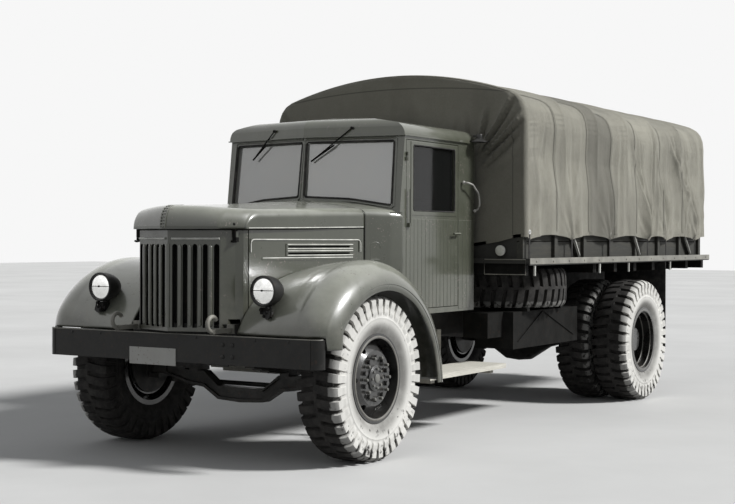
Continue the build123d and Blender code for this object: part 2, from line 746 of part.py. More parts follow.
def grille_shell():
    """Veed nose shell with five round-topped gaps on each side of its ridge."""
    shell = flat_plate(nose_plan(0, NOSE_BACK_Y), GRILLE_BOTTOM, HOOD_PARTING_Z)
    shell -= flat_plate(nose_plan(NOSE_WALL, NOSE_BACK_Y + 40), GRILLE_BOTTOM - 1, HOOD_PARTING_Z + 1)
    slots = []
    for gap in GRILLE_GAPS:
        middle = (gap.inner + gap.outer) / 2
        half = (gap.outer - gap.inner) / 2
        shoulder = GRILLE_GAP_TOP - half
        slot = block(gap.inner, gap.outer, -900, -620, GRILLE_GAP_BOTTOM, shoulder)
        slots.append(mirrored(slot + rod_y(middle, -900, -620, shoulder, half)))
    rail_notch = block(RAIL_OUTER_X - RAIL_FLANGE - 3, RAIL_OUTER_X + 3, -900, -500,
                       GRILLE_BOTTOM - 1, RAIL_TOP)
    hook_notch = block(HOOK_X - 27, HOOK_X + 27, -900, -500, GRILLE_BOTTOM - 1, RAIL_TOP + 32)
    latch = block(NOSE_CORNER_X - 42, NOSE_CORNER_X - 20, NOSE_CORNER_Y - 40, NOSE_CORNER_Y,
                  HOOD_PARTING_Z - 70, HOOD_PARTING_Z - 6)
    return (shell - slots - [mirrored(rail_notch), mirrored(hook_notch)]) + mirrored(latch)


def arch_face(station, t, drop):
    """Arched section of the hood or cowl, drawn in by t and carried down by drop."""
    w = station.half_width - t
    top = station.side_top - t
    r = HOOD_SHOULDER - t * 0.4
    low = station.low - drop
    face = make_face([
        Line((-w, low), (-w, top - r)),
        corner_arc(-w, top, r, -1, 1),
        ThreePointArc((-w + r, top), (0, station.crown - t), (w - r, top)),
        corner_arc(w, top, r, 1, 1),
        Line((w, top - r), (w, low)),
        Line((w, low), (-w, low)),
    ])
    return Plane.XZ.offset(-station.y) * face


def arch_loft(stations, t, drop):
    return loft([arch_face(station, t, drop) for station in stations], ruled=True)


def hood_top_plan(t, back):
    """Plan of the hood, which overhangs the veed nose."""
    front = HOOD_OVERHANG - t
    return both_ways([
        (0, NOSE_RIDGE_Y - front), (NOSE_EDGE_X + 10, NOSE_EDGE_Y - front + 4),
        (NOSE_CORNER_X - 30, NOSE_CORNER_Y - front - 12), (NOSE_CORNER_X + HOOD_SIDE_LAP, NOSE_CORNER_Y + t),
        (900, back),
    ])


def hood_top():
    """Hood lid: a crowned pressing that is open below, with a ribbed band on its nose."""
    stations = HOOD_STATIONS[:3]
    outer = arch_loft(stations, 0, 0) & flat_plate(hood_top_plan(0, COWL_Y - DOOR_GAP), 1500, 1850)
    inner = arch_loft(stations, SHEET, 10) & flat_plate(hood_top_plan(SHEET, COWL_Y + 20), 1480, 1860)
    lid = outer - inner
    tip = NOSE_RIDGE_Y - HOOD_OVERHANG
    for x in (-14, 0, 14):
        lid += block(x - 4, x + 4, tip - 6, tip + 12, HOOD_PARTING_Z + 20, HOOD_PARTING_Z + 130)
    room = HOOD_HINGE_RADIUS + MOVING_GAP
    lid -= mirrored(block(101, 171, HOOD_HINGE_Y - room, COWL_Y, 1700, 1850))
    return lid + mirrored(hood_barrel(42, 98, -1))


def hood_barrel(x0, x1, side):
    """Half of a hinge on the hood's rear edge, with its leaf to the front or back."""
    leaf = sorted((HOOD_HINGE_Y, HOOD_HINGE_Y + side * 22))
    barrel = rod_x(x0, x1, HOOD_HINGE_Y, HOOD_HINGE_Z, HOOD_HINGE_RADIUS)
    return barrel + block(x0, x1, leaf[0], leaf[1], HOOD_HINGE_Z - 5, HOOD_HINGE_Z + 3)


def side_plane():
    """Plane of the left hood side, with X towards the back and Y up."""
    start = Vector(NOSE_CORNER_X + 10, HOOD_SIDE_FRONT_Y, 0)
    along = Vector(HOOD_REAR.half_width, COWL_Y, 0) - start
    return Plane(start, x_dir=along, z_dir=(along.Y, -along.X, 0))


def side_strip(s0, s1, z0, z1, out):
    """Raised strip on the left hood side."""
    sketch = Pos((s0 + s1) / 2, (z0 + z1) / 2) * Rectangle(s1 - s0, z1 - z0)
    return extrude(side_plane() * sketch, out)


def hood_sides():
    """Fixed side panels with two louvres, their surround and a raised frame."""
    plane = side_plane()
    length = COWL_Y - HOOD_SIDE_FRONT_Y
    sketch = Pos(length / 2, (CAB_BOTTOM + 1600) / 2) * Rectangle(length + 12, 1600 - CAB_BOTTOM)
    panel = extrude(plane * sketch, -SHEET)
    panel &= block(0, 900, HOOD_SIDE_FRONT_Y, COWL_Y - 0.5, 0, 2000)
    panel &= side_plate([
        (HOOD_STATIONS[0].y, 0), (HOOD_REAR.y, 0), (HOOD_REAR.y, HOOD_REAR.low - MOVING_GAP),
        (HOOD_STATIONS[0].y, HOOD_STATIONS[0].low - MOVING_GAP),
    ], 0, 900)
    panel += side_strip(10, length - 40, 1480, 1492, 5)
    panel += side_strip(length - 48, length - 40, 1400, 1481, 5)
    panel += side_strip(10, 18, 1400, 1481, 5)
    panel += side_strip(350, length - 120, LOUVRES[0].z - 12, LOUVRES[1].z + 28, 5)
    panel += side_strip(120, length - 120, 1346, 1360, 5)
    slots = []
    for louvre in LOUVRES:
        middle = Pos((370 + length - 150) / 2, louvre.z + louvre.height / 2)
        slot = extrude(plane * (middle * Rectangle(length - 520, louvre.height)), 12)
        slots.append(slot + mirror_depth(slot, plane))
    return mirrored(panel - slots)


def mirror_depth(solid, plane):
    """The solid's mirror image on the other side of a plane."""
    return mirror(solid, plane)


def cowl():
    """Arched panel between the hood and the windscreen, with a vent flap on each side."""
    stations = HOOD_STATIONS[2:]
    skin = arch_loft(stations, 0, 640) - arch_loft(stations, SHEET, 660)
    skin &= block(-900, 900, COWL_Y, HOOD_STATIONS[3].y - 1, CAB_BOTTOM, 1900)
    skin -= cab_space(0)
    skin -= flat_plate(cab_plan(CAB_FRONT_Y, -SHEET), CAB_BOTTOM, SCREEN_STEP_Z)
    vent = block(0, 900, 640, 700, 1345, 1440) + rod_x(0, 900, 670, 1440, 30)
    raised = arch_loft(stations, -5, 640) - arch_loft(stations, 3, 660)
    room = HOOD_HINGE_RADIUS + MOVING_GAP
    skin -= mirrored(block(35, 105, COWL_Y - 5, HOOD_HINGE_Y + room, 1700, 1850))
    return skin + mirrored(raised & vent) + mirrored(hood_barrel(108, 164, 1))


# Cab

def behind_screen(inset):
    """Everything behind the veed and raked windscreen plane, on both sides."""
    plane = Plane((0, SCREEN_CENTRE_Y, SCREEN_BASE_Z), x_dir=(-1, -SCREEN_VEE, 0),
                  z_dir=(-SCREEN_VEE, 1, -SCREEN_RAKE))
    half = plane * Pos(0, 0, 1500 + inset) * Box(4000, 4000, 3000)
    return mirrored(half & block(0, 1500, -500, 4000, 0, 4000))


def cab_plan(front, t):
    return both_ways([
        (0, front), (min(750, CAB_HALF_WIDTH - 40) - t, front), (CAB_HALF_WIDTH - t, front + 90),
        (CAB_HALF_WIDTH - t, CAB_REAR_Y - t), (0, CAB_REAR_Y - t),
    ])


def cab_space(t):
    """Outside of the cab up to its eaves, drawn in by t."""
    low = CAB_BOTTOM + t
    high = CAB_EAVES_Z + (1 if t > 0 else 0)
    body = flat_plate(cab_plan(CAB_FRONT_Y + t, t), low, SCREEN_STEP_Z)
    upper = flat_plate([(x, y) for x, y in both_ways([
        (0, 500), (CAB_HALF_WIDTH - t, 500), (CAB_HALF_WIDTH - t, CAB_REAR_Y - t), (0, CAB_REAR_Y - t)])],
        SCREEN_STEP_Z - (2 if t > 0 else 0), high)
    return body + (upper & behind_screen(t))


def screen_opening(depth_out, depth_in):
    """Left pane's outline in the windscreen plane, extruded both ways."""
    plane = Plane((0, SCREEN_CENTRE_Y, SCREEN_BASE_Z), x_dir=(-1, -SCREEN_VEE, 0),
                  z_dir=(-SCREEN_VEE, 1, -SCREEN_RAKE))
    top = SCREEN_TOP_Z - SCREEN_BASE_Z
    outline = [(-28, 24), (-400, 6), (-SCREEN_HALF_WIDTH, -44), (-SCREEN_HALF_WIDTH, top), (-28, top)]
    face = plane.offset(-depth_out) * make_face(Polyline(*outline, close=True))
    return extrude(face, depth_out + depth_in)


def cab_shell():
    """Hollow wooden cab body with door, windscreen and rear window openings."""
    shell = cab_space(0) - cab_space(CAB_WALL)
    g = DOOR_GAP
    doorway = block(CAB_HALF_WIDTH - 150, CAB_HALF_WIDTH + 60, DOOR_FRONT_Y - g, DOOR_REAR_Y + g,
                    DOOR_BOTTOM - g, DOOR_TOP + g)
    rear_window = block(-330, 330, CAB_REAR_Y - 80, CAB_REAR_Y + 20, 1760, 2130)
    shell -= [mirrored(doorway), mirrored(screen_opening(30, 90)), rear_window]
    leaves = []
    for z in HINGE_HEIGHTS:
        leaves.append(hinge_half(z - 30, z, -14, 0))
    return shell + mirrored(fused(leaves))


HINGE_X = CAB_HALF_WIDTH + 12
HINGE_Y = DOOR_FRONT_Y - 3
HINGE_HEIGHTS = [1110, 2100]


def hinge_half(z0, z1, y0, y1):
    """Barrel on the door's hinge line with a leaf towards the skin."""
    barrel = rod_z(HINGE_X, HINGE_Y, z0, z1, HINGE_RADIUS)
    return barrel + block(CAB_HALF_WIDTH - 0.5, HINGE_X, HINGE_Y + y0, HINGE_Y + y1, z0, z1)


def cab_glass():
    """Two windscreen panes and the rear window."""
    middle = (CAB_WALL - PANE) / 2
    pane = screen_opening(-middle, middle + PANE)
    y = CAB_REAR_Y - CAB_WALL / 2
    return mirrored(pane) + block(-330, 330, y - PANE / 2, y + PANE / 2, 1760, 2130)


def cab_roof():
    """Crowned roof with a visor over the veed windscreen and a drip rail."""
    w = CAB_HALF_WIDTH + 8
    z0 = CAB_EAVES_Z
    side_top = z0 + 102
    arch = make_face([
        Line((-w, z0), (-w, side_top - 82)),
        ThreePointArc((-w, side_top - 82), (-w + 24, side_top - 30), (-w + 80, side_top)),
        ThreePointArc((-w + 80, side_top), (0, CAB_CROWN_Z), (w - 80, side_top)),
        ThreePointArc((w - 80, side_top), (w - 24, side_top - 30), (w, side_top - 82)),
        Line((w, side_top - 82), (w, z0)),
        Line((w, z0), (-w, z0)),
    ])
    y0 = SCREEN_CENTRE_Y + 40
    y1 = CAB_REAR_Y + 8
    barrel = extrude(Plane.XZ.offset(-y1 - 20) * arch, y1 - y0 + 100)
    brow = make_face([
        Line((0, z0), (0, z0 + 70)),
        ThreePointArc((0, z0 + 70), (26, z0 + 114), (90, z0 + 136)),
        Line((90, z0 + 136), (1600, z0 + 330)),
        Line((1600, z0 + 330), (1600, z0)),
        Line((1600, z0), (0, z0)),
    ])
    turn = math.degrees(math.atan(SCREEN_VEE))
    front = Pos(0, y0, 0) * Rot(0, 0, turn) * extrude(Plane.YZ.offset(-400) * brow, 1500)
    front &= block(0, 1200, 0, 4000, 2000, 3000)
    tail = make_face([
        Line((0, z0), (0, z0 + 300)),
        Line((0, z0 + 300), (y1 - 500, z0 + 230)),
        ThreePointArc((y1 - 500, z0 + 230), (y1 - 60, z0 + 116), (y1, z0)),
        Line((y1, z0), (0, z0)),
    ])
    roof = barrel & mirrored(front) & extrude(Plane.YZ.offset(-w) * tail, 2 * w)
    inside = flat_plate(both_ways([
        (0, y0 + 60), (w - 60, y0 + 60 + SCREEN_VEE * (w - 60)), (w - 60, y1 - 60), (0, y1 - 60),
    ]), z0 - 1, z0 + 60)
    drip = flat_plate(roof_plan(10), z0 - 4, z0 + 8) - cab_space(0)
    drip &= flat_plate(roof_plan(10), z0, z0 + 8)
    return (roof - inside) + drip - inside


def roof_plan(out):
    """Plan of the roof's edge, grown by out."""
    w = CAB_HALF_WIDTH + 8 + out
    y0 = SCREEN_CENTRE_Y + 40 - out
    return both_ways([(0, y0), (w, y0 + SCREEN_VEE * w), (w, CAB_REAR_Y + 8 + out), (0, CAB_REAR_Y + 8 + out)])


def door_left():
    """Plank door with its window opening, handle, hinge halves and mirror rod."""
    x1 = CAB_HALF_WIDTH
    x0 = x1 - CAB_WALL
    leaf = block(x0, x1, DOOR_FRONT_Y, DOOR_REAR_Y, DOOR_BOTTOM, DOOR_TOP)
    leaf -= block(x0 - 1, x1 + 1, WINDOW_FRONT_Y, WINDOW_REAR_Y, WINDOW_BOTTOM, WINDOW_TOP)
    handle_y = DOOR_REAR_Y - 25
    leaf += rod_x(x1 - 1, x1 + 34, handle_y, 1535, 9)
    leaf += rod_y(x1 + 34, handle_y - 100, handle_y + 8, 1535, 8)
    for z in HINGE_HEIGHTS:
        leaf += hinge_half(z + 6, z + 36, 0, 14)
    rod = (x1 + 22, DOOR_FRONT_Y + 22)
    leaf += rod_z(*rod, 1590, 1860, 7)
    leaf += block(x1 - 1, x1 + 26, DOOR_FRONT_Y + 6, DOOR_FRONT_Y + 34, 1580, 1612)
    return leaf


def door_glass_left():
    x = CAB_HALF_WIDTH - CAB_WALL / 2
    return block(x - PANE / 2, x + PANE / 2, WINDOW_FRONT_Y, WINDOW_REAR_Y, WINDOW_BOTTOM, WINDOW_TOP)


def cab_handles():
    """Bent grab handles on the cab's rear quarters."""
    x = CAB_HALF_WIDTH
    y = DOOR_REAR_Y + 66
    bar = bent_rod([(x - 1, y, 1940), (x + 40, y + 12, 1935), (x + 40, y + 150, 1905),
                    (x + 40, CAB_REAR_Y - 20, 1760), (x - 1, CAB_REAR_Y - 18, 1722)], 9)
    return mirrored(bar + corner_lamp()) - cab_space(0)


def corner_lamp():
    """Shallow hooded lamp on an arm at the cab's rear corner, under the eaves."""
    x = CAB_HALF_WIDTH + 68
    y = CAB_REAR_Y - 42
    top = CAB_EAVES_Z - 20
    hood = Pos(x, y, top - 46) * (Cone(70, 34, 30) - Pos(0, 0, -8) * Cone(64, 30, 26))
    cap = rod_z(x, y, top - 33, top, 26)
    arm = block(CAB_HALF_WIDTH - 1, x, y - 12, y + 12, top - 20, top - 6)
    return hood + cap + arm


def wiper(pivot_x, tip_x, pivot_z, tip_z):
    """Wiper that hangs from the roof's visor and leans over its pane."""
    pivot = Vector(pivot_x, SCREEN_CENTRE_Y + 40 + SCREEN_VEE * abs(pivot_x), pivot_z)
    tip = Vector(tip_x, SCREEN_CENTRE_Y + 26 + SCREEN_VEE * abs(tip_x), tip_z)
    arm = rod_between(pivot + Vector(0, -14, 0), tip, 6)
    arm += rod_y(pivot.X, pivot.Y - 20, pivot.Y + 3, pivot.Z, 11)
    blade_top = tip + (pivot - tip) * 0.55
    return arm + rod_between(tip + Vector(0, -2, 0), blade_top + Vector(0, 2, -14), 8)


def wipers(roof):
    """Both wipers, which lean the same way."""
    return wiper(395, 70, 2318, 2075) + wiper(-300, -530, 2318, 2105) - roof


def seat():
    """Bench seat on its box."""
    w = CAB_HALF_WIDTH - CAB_WALL - 34
    cushion = block(-w, w, 1380, 1900, 1250, 1400)
    cushion += block(-w, w, 1800, CAB_REAR_Y - CAB_WALL - 20, 1400, 1850)
    return cushion + block(-w + 20, w - 20, 1420, CAB_REAR_Y - CAB_WALL - 20, CAB_BOTTOM + CAB_WALL, 1250)


def steering_wheel():
    """Wheel with two spokes on its column."""
    hub = Vector(380, 1180, 1640)
    foot = Vector(380, 850, 1226)
    tilt = Plane(hub, z_dir=hub - foot)
    spokes = tilt * Box(430, 26, 12) + tilt * Box(26, 430, 12)
    return tilt * Torus(225, 15) + spokes + rod_between(hub, foot, 26)


def dashboard():
    w = CAB_HALF_WIDTH - CAB_WALL - 54
    return block(-w, w, 880, 960, 1560, 1680) & cab_space(CAB_WALL)


def step_boards():
    """Wooden steps on brackets under the doors."""
    board = block(650, STEP_OUTER_X, DOOR_FRONT_Y - 20, CAB_REAR_Y + 150, STEP_TOP - 38, STEP_TOP)
    for y in (DOOR_FRONT_Y + 75, CAB_REAR_Y - 40):
        board += block(RAIL_OUTER_X, STEP_OUTER_X - 50, y, y + 60, STEP_TOP - 70, STEP_TOP - 38)
        board += block(RAIL_OUTER_X, RAIL_OUTER_X + 50, y, y + 60, STEP_TOP - 70, RAIL_BOTTOM + 50)
    return mirrored(board)


# Load bed

def bed_floor():
    """Deck with a steel edge rail, rope hooks, hinge halves and a raised loading floor."""
    w = BED_HALF_WIDTH
    under = BED_TOP - BED_PLANK
    floor = block(-w, w, BED_FRONT_Y, BED_REAR_Y, under, BED_TOP)
    floor += mirrored(block(w - 10, w, BED_FRONT_Y, BED_REAR_Y, BED_RAIL_BOTTOM, BED_TOP))
    inner = BOARD_X - 4
    floor += block(-inner, inner, BOARD_Y + BOARD_WALL + 4, BED_REAR_Y - 58, BED_TOP, LOAD_FLOOR_Z)
    for y in ROPE_HOOKS_Y:
        floor += mirrored(rod_z(w - 16, y, BED_RAIL_BOTTOM - 84, under + 1, 9))
    for x in GATE_HINGES_X:
        floor += mirrored(rod_x(x, x + 56, GATE_HINGE_Y, GATE_HINGE_Z, HINGE_RADIUS + 2))
        floor += mirrored(block(x, x + 56, BED_REAR_Y - 1, GATE_HINGE_Y, BED_TOP - 8, GATE_HINGE_Z))
    return floor


def bed_beams():
    """Cross beams under the deck and the sills between them and the frame rails."""
    w = BED_HALF_WIDTH - 60
    under = BED_TOP - BED_PLANK
    first = SPARE_REAR_Y + 80
    last = BED_REAR_Y - BED_BEAM_WIDTH - 11
    front = BED_FRONT_Y + 32
    x1 = RAIL_OUTER_X
    beams = [block(-w, w, y, y + BED_BEAM_WIDTH, BED_BEAM_LOW, under) for y in [front] + evenly(first, last, 7)]
    for y0, y1 in ((front, front + BED_BEAM_WIDTH), (first - 10, RAIL_REAR_Y)):
        beams.append(mirrored(block(x1 - 60, x1, y0, y1, RAIL_TOP, BED_BEAM_LOW - RUNNING_GAP)))
    return fused(beams)


def bed_sides():
    """Plank sides between stakes, braced by three flat diagonal stays a side."""
    x1 = BOARD_X + BOARD_WALL
    y1 = BED_REAR_Y - 54
    pitch = (BOARD_TOP - BED_TOP) / BOARD_COUNT
    side = []
    for index in range(BOARD_COUNT):
        z = BED_TOP + index * pitch
        side.append(block(BOARD_X, x1, BOARD_Y, y1, z, z + pitch - 6))
    for y in evenly(BOARD_Y, y1 - 60, 8):
        side.append(block(x1 - 1, x1 + STAKE_DEPTH, y, y + 60, BED_TOP, BOARD_TOP))
    side = fused(side)
    for stay in STAYS:
        bar = side_plate([(stay.top_y - 17, 1530), (stay.top_y + 17, 1530), (stay.foot_y + 17, BED_TOP),
                          (stay.foot_y - 17, BED_TOP)], x1 - 1, x1 + STAKE_DEPTH + 6)
        side += bar
    return mirrored(side)


def bed_front():
    """Front board of the bed with a round filler cap low on its left."""
    board = block(-BOARD_X, BOARD_X, BOARD_Y, BOARD_Y + BOARD_WALL, BED_TOP, BOARD_TOP)
    return board + rod_y(1000, BOARD_Y - 34, BOARD_Y + 1, 1412, 38)


def tailgate():
    """Rear board, hinged along its lower edge."""
    w = BOARD_X + BOARD_WALL
    y0 = BED_REAR_Y - 46
    low = BED_TOP + 12
    gate = block(-w, w, y0, y0 + 30, low, BOARD_TOP)
    for x in evenly(-w + 120, w - 120, 4):
        gate += block(x - 30, x + 30, y0, y0 + 36, low, BOARD_TOP)
    for x in GATE_HINGES_X:
        gate += mirrored(rod_x(x + 62, x + 118, GATE_HINGE_Y, GATE_HINGE_Z, HINGE_RADIUS + 2))
        gate += mirrored(block(x + 62, x + 118, y0 + 29, GATE_HINGE_Y, GATE_HINGE_Z + 2, low + 20))
    return gate


def canvas_section(t, low, sag=0):
    """Section of the canvas over its hoops, drawn in by t, cut at low and sunk by sag."""
    x = CANVAS_X - t
    belt = (x - 5, CANVAS_BELT_Z)
    slack = (x - 8 - sag * 0.7, (CANVAS_BELT_Z + CANVAS_EAVES_Z) / 2)
    top = (x - 8 - sag * 0.3, CANVAS_EAVES_Z)
    knee = (x - 44 - sag * 0.35, 2598 - t * 0.7 - sag * 0.35)
    edge = (x - 150 - sag * 0.2, CANVAS_SHOULDER - t - sag * 0.7)
    crown = (0, CANVAS_CROWN - t - sag)

    def left(point):
        return (-point[0], point[1])

    def side(foot, middle, head):
        return ThreePointArc(foot, middle, head) if sag else Line(foot, head)

    return make_face([
        Line((-x, low), left(belt)),
        side(left(belt), left(slack), left(top)),
        ThreePointArc(left(top), left(knee), left(edge)),
        ThreePointArc(left(edge), crown, edge),
        ThreePointArc(edge, knee, top),
        side(top, slack, belt),
        Line(belt, (x, low)),
        Line((x, low), (-x, low)),
    ])


def canvas_form(t, low, front, rear):
    """Solid under the canvas: each bay between two hoops is sunk in its middle."""
    def section(y, sag=0):
        return Plane.XZ.offset(-y) * canvas_section(t, low, sag)

    places = hoop_places()
    bays = [extrude(section(places[0]), places[0] - front), extrude(section(rear), rear - places[-1])]
    for y0, y1, sag in zip(places, places[1:], CANVAS_SAGS):
        bays.append(loft([section(y0), section((y0 + y1) / 2, sag), section(y1)]))
    return fused(bays)


def canvas_cover():
    """Canvas over the hoops with a front wall; its rear is open."""
    outer = canvas_form(0, CANVAS_HEM, CANVAS_FRONT_Y, CANVAS_REAR_Y)
    inner = canvas_form(CANVAS_WALL, CANVAS_HEM - 10, CANVAS_FRONT_Y + CANVAS_WALL, CANVAS_REAR_Y + 10)
    return outer - inner


def hoop_places():
    return evenly(CANVAS_FRONT_Y + HOOP_INSET, CANVAS_REAR_Y - HOOP_INSET, HOOP_COUNT)


def hoops():
    """Flat bows that stand on the side boards' stakes and carry the canvas."""
    t = CANVAS_WALL + HOOP_CLEARANCE
    w = HOOP_WIDTH / 2
    bow = extrude(Plane.XZ.offset(-w) * canvas_section(t, CANVAS_HEM), HOOP_WIDTH)
    bow -= extrude(Plane.XZ.offset(-w - 1) * canvas_section(t + HOOP_DEPTH, CANVAS_HEM - 10), HOOP_WIDTH + 2)
    bow -= block(-BED_HALF_WIDTH, BED_HALF_WIDTH, -HOOP_WIDTH, HOOP_WIDTH, CANVAS_HEM - 20, BOARD_TOP)
    return fused([Pos(0, y, 0) * bow for y in hoop_places()])


# Under the bed

def spare_place():
    return Pos(SPARE_X, SPARE_Y, SPARE_Z) * Rot(0, 90, 0)


def spare_carrier():
    """Two bars from the left rail that carry the spare wheel."""
    bars = [block(RAIL_OUTER_X, LOCKER_OUTER_X + 40, y, y + 50, RAIL_TOP - CARRIER_DEPTH, RAIL_TOP)
            for y in (SPARE_Y - 360, SPARE_Y + 310)]
    return fused(bars)


def side_locker():
    """Steel locker that hangs from the spare wheel's bars, with two crossed ribs on its face."""
    top = RAIL_TOP - CARRIER_DEPTH
    y0 = UNDER_BED_FRONT_Y
    y1 = TYRE_FRONT_Y - 360
    middle = (y0 + y1) / 2
    box = block(LOCKER_INNER_X, LOCKER_OUTER_X, y0, y1, LOCKER_BOTTOM, top)
    for foot in (y0 + 90, y1 - 90):
        apex = middle - 80
        box += side_plate([(apex - 12, top - 10), (apex + 12, top - 10), (foot + 12, LOCKER_BOTTOM + 60),
                           (foot - 12, LOCKER_BOTTOM + 60)], LOCKER_OUTER_X - 1, LOCKER_OUTER_X + 9)
    battery = block(LOCKER_INNER_X + 40, LOCKER_OUTER_X - 90, CAB_REAR_Y + 20, y0 + 1, 700, top)
    return box + battery


def fuel_tank():
    """Rounded tank on the right with its two brackets and filler."""
    y0 = UNDER_BED_FRONT_Y - 50
    x = -(LOCKER_INNER_X + LOCKER_OUTER_X) / 2
    outline = Pos(x, 770) * RectangleRounded(LOCKER_OUTER_X - LOCKER_INNER_X + 20, 300, 70)
    tank = extrude(Plane.XZ.offset(-y0 - 1050) * outline, 1050)
    for y in (y0 + 160, y0 + 820):
        tank += block(x + 120, -RAIL_OUTER_X, y, y + 50, 850, 900)
    return tank + rod_z(x, y0 + 110, 910, 950, 45)


def mud_flaps():
    """Rubber flaps behind the rear wheels, hung from the deck."""
    y = TYRE_REAR_Y + 100
    return mirrored(block(REAR_INNER_X - TYRE_WIDTH / 2, BED_HALF_WIDTH - 10, y, y + FLAP_WALL,
                          FLAP_BOTTOM, BED_TOP - BED_PLANK))


# Assembly

one_tyre = tyre()
roof = cab_roof()
twin_tyres = fused([Pos(x, WHEELBASE, AXLE_Z) * one_tyre for x in (REAR_OUTER_X, REAR_INNER_X)])

pieces = {
    "frame_rails": frame_rails(),
    "tow_eye": tow_eye(),
    "front_bumper": front_bumper(),
    "tow_hooks": tow_hooks(),
    "number_plate": number_plate(),
    "leaf_springs": fused([front_springs(), rear_springs()]),
    "front_axle_beam": front_axle_beam(),
    "tie_rod": tie_rod(),
    "rear_axle": rear_axle(),
    "drive_shaft": drive_shaft(),
    "engine": engine(),
    "radiator": radiator(),
    "grille_shell": grille_shell(),
    "hood_top": hood_top(),
    "hood_sides": hood_sides(),
    "headlamps": headlamps(),
    "lamp_lenses": lamp_lenses(),
    "cowl": cowl(),
    "cab_shell": cab_shell(),
    "cab_roof": roof,
    "cab_glass": cab_glass(),
    "cab_handles": fused([cab_handles(), wipers(roof)]),
    "seat": seat(),
    "steering_wheel": steering_wheel(),
    "dashboard": dashboard(),
    "step_boards": step_boards(),
    "bed_floor": bed_floor(),
    "bed_beams": bed_beams(),
    "bed_sides": bed_sides(),
    "bed_front": bed_front(),
    "tailgate": tailgate(),
    "hoops": hoops(),
    "canvas_cover": canvas_cover(),
    "spare_carrier": spare_carrier(),
    "spare_tyre": spare_place() * one_tyre,
    "spare_rim": spare_place() * rim_barrel(),
    "side_locker": side_locker(),
    "fuel_tank": fuel_tank(),
    "mud_flaps": mud_flaps(),
}

left_and_right = {
    "fender": fender_left(),
    "knuckle": knuckle_left(),
    "door": door_left(),
    "door_glass": door_glass_left(),
    "front_tyre": Pos(FRONT_TRACK_X, 0, AXLE_Z) * one_tyre,
    "front_wheel": Pos(FRONT_TRACK_X, 0, AXLE_Z) * front_wheel(),
    "rear_tyres": twin_tyres,
    "rear_wheel": Pos(TWIN_MIDDLE_X, WHEELBASE, AXLE_Z) * rear_wheel(),
}

for name, solid in pieces.items():
    put(name, solid)
for name, solid in left_and_right.items():
    put(f"{name}_left", solid)
    put(f"{name}_right", mirror(solid, Plane.YZ))
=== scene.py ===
"""Looks for a bonneted military cargo truck with a canvas cover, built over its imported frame."""

import logging
import math
from dataclasses import dataclass
from enum import Enum

import bpy
import numpy as np
from mathutils import Matrix, Vector


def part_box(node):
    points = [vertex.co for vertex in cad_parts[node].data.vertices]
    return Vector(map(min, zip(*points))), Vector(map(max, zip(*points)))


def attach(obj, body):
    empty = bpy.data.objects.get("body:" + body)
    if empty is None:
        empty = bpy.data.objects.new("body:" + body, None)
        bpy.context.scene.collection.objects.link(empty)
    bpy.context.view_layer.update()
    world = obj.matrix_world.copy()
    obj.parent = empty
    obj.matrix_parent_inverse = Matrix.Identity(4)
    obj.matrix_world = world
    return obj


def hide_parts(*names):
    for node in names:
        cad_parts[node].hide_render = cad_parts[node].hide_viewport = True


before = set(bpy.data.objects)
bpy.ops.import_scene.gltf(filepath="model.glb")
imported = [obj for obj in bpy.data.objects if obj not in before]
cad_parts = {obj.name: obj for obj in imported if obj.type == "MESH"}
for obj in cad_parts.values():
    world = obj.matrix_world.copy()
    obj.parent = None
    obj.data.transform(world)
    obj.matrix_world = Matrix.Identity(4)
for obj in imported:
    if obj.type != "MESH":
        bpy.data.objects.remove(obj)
LOG = logging.getLogger("truck")
Socket = bpy.types.NodeSocket
Material = bpy.types.Material
Colour = tuple[float, float, float]


def box_centre(node: str) -> Vector:
    """Middle of a node's box at rest.

    Args:
        node: name of a node of the frame.

    Returns:
        The middle point, in metres.
    """
    low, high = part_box(node)
    return (low + high) / 2


FRONT_AXLE_Y = box_centre("front_tyre_left").y
VEE_SLOPE = 121 / 345
VEE_EDGE_X = 0.345
NOSE_TIP_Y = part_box("grille_shell")[0].y
COWL_END = 0.866
SCREEN_Z = 1.785
SCREEN_VEE = 0.17
SCREEN_RAKE = 0.12


class Side(Enum):
    """Side of the truck, as the driver sees it; the value is the sign of X."""

    LEFT = 1
    RIGHT = -1

    @property
    def word(self) -> str:
        """The side's name as nodes use it."""
        return self.name.lower()

    def of(self, shape: "Shape") -> "Shape":
        """A shape made for the left side, as it is on this side."""
        return shape if self is Side.LEFT else shape.mirrored()


# Meshes


